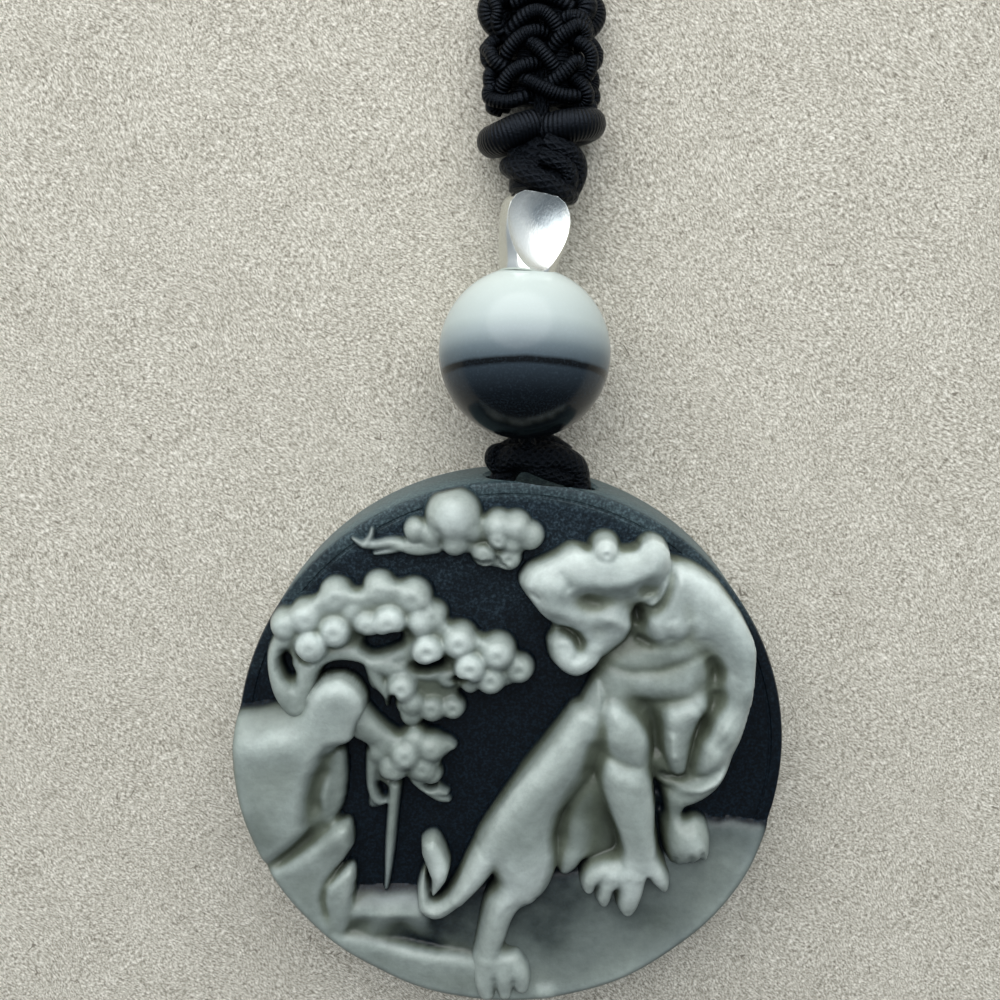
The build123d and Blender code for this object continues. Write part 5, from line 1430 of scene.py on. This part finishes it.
# %% Hanging loop
LOOP_CORD = 1.15
overhand_knot = [
    # the arch over the front, its left lobe, the turn below it and the one behind
    Strand(1.12, [(-0.9, 25.5, 5), (-0.4, 26.7, 6.2), (0.9, 27, 6.9), (2.6, 26.6, 7.1), (4.3, 26.9, 6.7),
                  (5.7, 26.1, 6.2), (6.2, 24.9, 5.4), (6, 23.6, 5.2)]),
    Strand(0.75, [(0, 27, 5), (-1.3, 27.3, 5.6), (-1.75, 26.5, 5.7), (-1.2, 25.6, 5.6), (0.2, 25.9, 6)]),
    Strand(0.9, [(-0.6, 25.4, 4.6), (0.4, 25.9, 5.4), (1.4, 26.4, 6.6), (2.6, 25.9, 7), (4, 25.3, 6.7),
                 (5.4, 24.8, 6)]),
    Strand(1.1, [(-0.6, 26.6, 4.2), (1, 27.6, 3.8), (3.4, 27.7, 3.8), (5, 26.4, 4.2)]),
]
thread = Strand(0.75, [(1.9, 26.8, 6.2), (1.2, 28.2, 7.5), (1.2, 36, 7.5), (1.2, 43.7, 7.5),
                       (1.64, 47.1, 6.3), (2.3, 52, 4.6), (2.7, 55, 3.5), (2.7, 64.6, 2.6)])


def make_hanging_cord():
    """The loop through the rim, its knot and the thread up through the beads."""
    bm = bmesh.new()
    ring = [LOOP_CENTRE + LOOP_RADIUS * Vector((math.cos(turn), math.sin(turn), 0))
            for turn in once_round(64)]
    sweep(bm, ring, LOOP_CORD, closed=True, sides=14)
    for strand in overhand_knot:
        sweep(bm, smooth_line(strand.points), strand.radius, sides=14)
    sweep(bm, smooth_line(thread.points), thread.radius, sides=10)
    finish_cord(bm, "hanging_cord", braided_finish, "hanging_cord")


make_hanging_cord()

# %% [markdown]
# The neck cord is a round braid of eight strands. Four wind one way and four the other round
# the same path, and each passes over one and under the next of the others, which is one wave
# of the strand's distance from the middle for each quarter turn. Its route is the model's: a
# loose closed loop of its real length, laid down beyond the picture's upper edge.

# %% Neck cord
NECK_Z = 2.3
neck_route = [
    (5.3, 66.75), (5.3, 86.75), (15, 119), (37, 151), (59, 185), (72, 224), (70, 265), (47, 299),
    (9, 315), (-31, 307), (-60, 279), (-69, 240), (-60, 200), (-42, 163), (-20, 130), (-5, 106),
    (0.1, 86.75), (0.1, 66.75),
]
BRAID_RADIUS = 1.38
BRAID_STRAND = 0.68
BRAID_WAVE = 0.14
BRAID_PITCH = 12.0
BRAID_STEP = 0.9


def make_neck_cord():
    """Eight strands that wave round the route, four each way."""
    route = np.array(smooth_line([(x, y, NECK_Z) for x, y in neck_route], resolution=16))
    gaps = np.linalg.norm(np.diff(route, axis=0), axis=1)
    reach = np.concatenate([[0.0], np.cumsum(gaps)])
    places = np.linspace(0.0, reach[-1], int(reach[-1] / BRAID_STEP))
    line = np.stack([np.interp(places, reach, route[:, axis]) for axis in range(3)], axis=1)
    along = np.gradient(line, axis=0)
    along /= np.linalg.norm(along, axis=1)[:, None]
    up = np.array([0.0, 0.0, 1.0])
    side = np.cross(along, up)
    bm = bmesh.new()
    for strand in range(8):
        way = 1 if strand < 4 else -1
        start = (strand % 4) * math.pi / 2
        turn = way * 2 * math.pi * places / BRAID_PITCH + start + (0 if way > 0 else math.pi / 8)
        reach_out = BRAID_RADIUS + way * BRAID_WAVE * np.cos(4 * turn)
        around = np.cos(turn)[:, None] * side + np.sin(turn)[:, None] * up
        path = [Vector(spot) for spot in line + around * reach_out[:, None]]
        sweep(bm, path, BRAID_STRAND, sides=6)
    finish_cord(bm, "neck_cord", twisted_finish, "neck_cord")
    print("neck cord", round(reach[-1]), "mm long")


make_neck_cord()

# %% [markdown]
# The pendant lies on a sueded cloth, warm grey, with a short nap that is brushed one way. It is
# only the stage: a flat sheet with noise drawn out slantwise for the nap. The light is a soft
# window beyond the neck cord, in a pale room that is darker towards the person with the camera.

# %% Floor and light
FLOOR_HALF = 600.0
NAP_SCALE = 6200.0
NAP_TURN = 0.8
NAP_LENGTH = 2.0
WINDOW = Vector((-0.12, 0.78, 0.61)).normalized()
WINDOW_TARGET = Vector((0.0, 20.0, 5.0)) * MM
WINDOW_DISTANCE = 0.45
WINDOW_SIZE = 0.72
WINDOW_WATTS = 3.3
ROOM_STRENGTH = 1.8
ROOM_STOPS = [
    (0.0, "#34373B"), (0.35, "#50555A"), (0.6, "#9AA0A6"), (0.8, "#C4CAD0"), (1.0, "#D5DADF"),
]


def cloth_finish():
    """Matt cloth with a nap brushed one way."""
    finish, tree, shader, place = new_finish("sueded_cloth")
    # the nap's strands lie slantwise, swirled a little by patches about 15 mm wide
    swirl = node(tree, "ShaderNodeTexNoise", None, {"Vector": place, "Scale": 60.0, "Detail": 2.0})
    swept = node(tree, "ShaderNodeMix", {"data_type": "VECTOR"},
                 {0: 0.006, 4: place, 5: swirl.outputs["Color"]}).outputs[1]
    inputs = {"Vector": swept, "Rotation": (0.0, 0.0, NAP_TURN), "Scale": (1.0, NAP_LENGTH, 1.0)}
    brushed = node(tree, "ShaderNodeMapping", {"vector_type": "TEXTURE"}, inputs).outputs[0]
    nap = noise(tree, brushed, NAP_SCALE, 3.0, 0.7)
    clumps = noise(tree, place, 2400.0, 2.0)
    patches = noise(tree, place, 140.0, 5.0, 0.6)
    heaps = maths(tree, "MULTIPLY_ADD", clumps, 0.15, nap)
    blend = maths(tree, "MULTIPLY_ADD", patches, 0.08, heaps)
    tint = ramp(tree, blend, [(0.41, "#6E685C"), (0.615, "#BAB5A7"), (0.81, "#EFEBE0")])
    # a few loose dark fibres lie in the nap
    nets = node(tree, "ShaderNodeTexVoronoi", {"feature": "DISTANCE_TO_EDGE"},
                {"Vector": place, "Scale": 420.0}).outputs["Distance"]
    thin = maths(tree, "LESS_THAN", nets, 0.018)
    rare = maths(tree, "GREATER_THAN", noise(tree, place, 520.0, 1.0), 0.70)
    fibre = maths(tree, "MULTIPLY", thin, rare)
    join(tree, shader, {
        "Base Color": mix(tree, fibre, tint, linear("#827C70")),
        "Normal": bump(tree, nap, 0.35, 0.1),
        "Roughness": 0.95,
        "Specular IOR Level": 0.1,
    })
    return finish


def make_floor():
    """The flat sheet that the pendant lies on."""
    bm = bmesh.new()
    bmesh.ops.create_grid(bm, x_segments=1, y_segments=1, size=FLOOR_HALF)
    floor = finish_mesh(bm, "floor", smooth=False)
    floor.data.materials.append(cloth_finish())
    print("floor:", round(2 * FLOOR_HALF), "mm wide")


def add_window_lamp():
    """One wide round lamp that stands for the window."""
    lamp_data = bpy.data.lights.new("window_lamp", "AREA")
    lamp_data.shape = "DISK"
    lamp_data.size = WINDOW_SIZE
    lamp_data.energy = WINDOW_WATTS
    lamp = bpy.data.objects.new("window_lamp", lamp_data)
    lamp.location = WINDOW_TARGET + WINDOW * WINDOW_DISTANCE
    lamp.rotation_euler = (-WINDOW).to_track_quat("-Z", "Y").to_euler()
    bpy.context.collection.objects.link(lamp)
    print("window lamp:", WINDOW_WATTS, "W")


def make_room():
    """A pale room: brighter towards the window, dark where the camera and the hands are."""
    sky = bpy.data.worlds.new("pale_room")
    sky.use_nodes = True
    tree = sky.node_tree
    way = node(tree, "ShaderNodeTexCoord").outputs["Generated"]
    axes = node(tree, "ShaderNodeSeparateXYZ", None, {0: way}).outputs
    shade = ramp(tree, carry(tree, axes["Y"], (-1.0, 1.0)), ROOM_STOPS)
    join(tree, tree.nodes["Background"], {"Color": shade, "Strength": ROOM_STRENGTH})
    bpy.context.scene.world = sky


make_floor()
add_window_lamp()
make_room()
bpy.context.scene.view_settings.view_transform = "Standard"
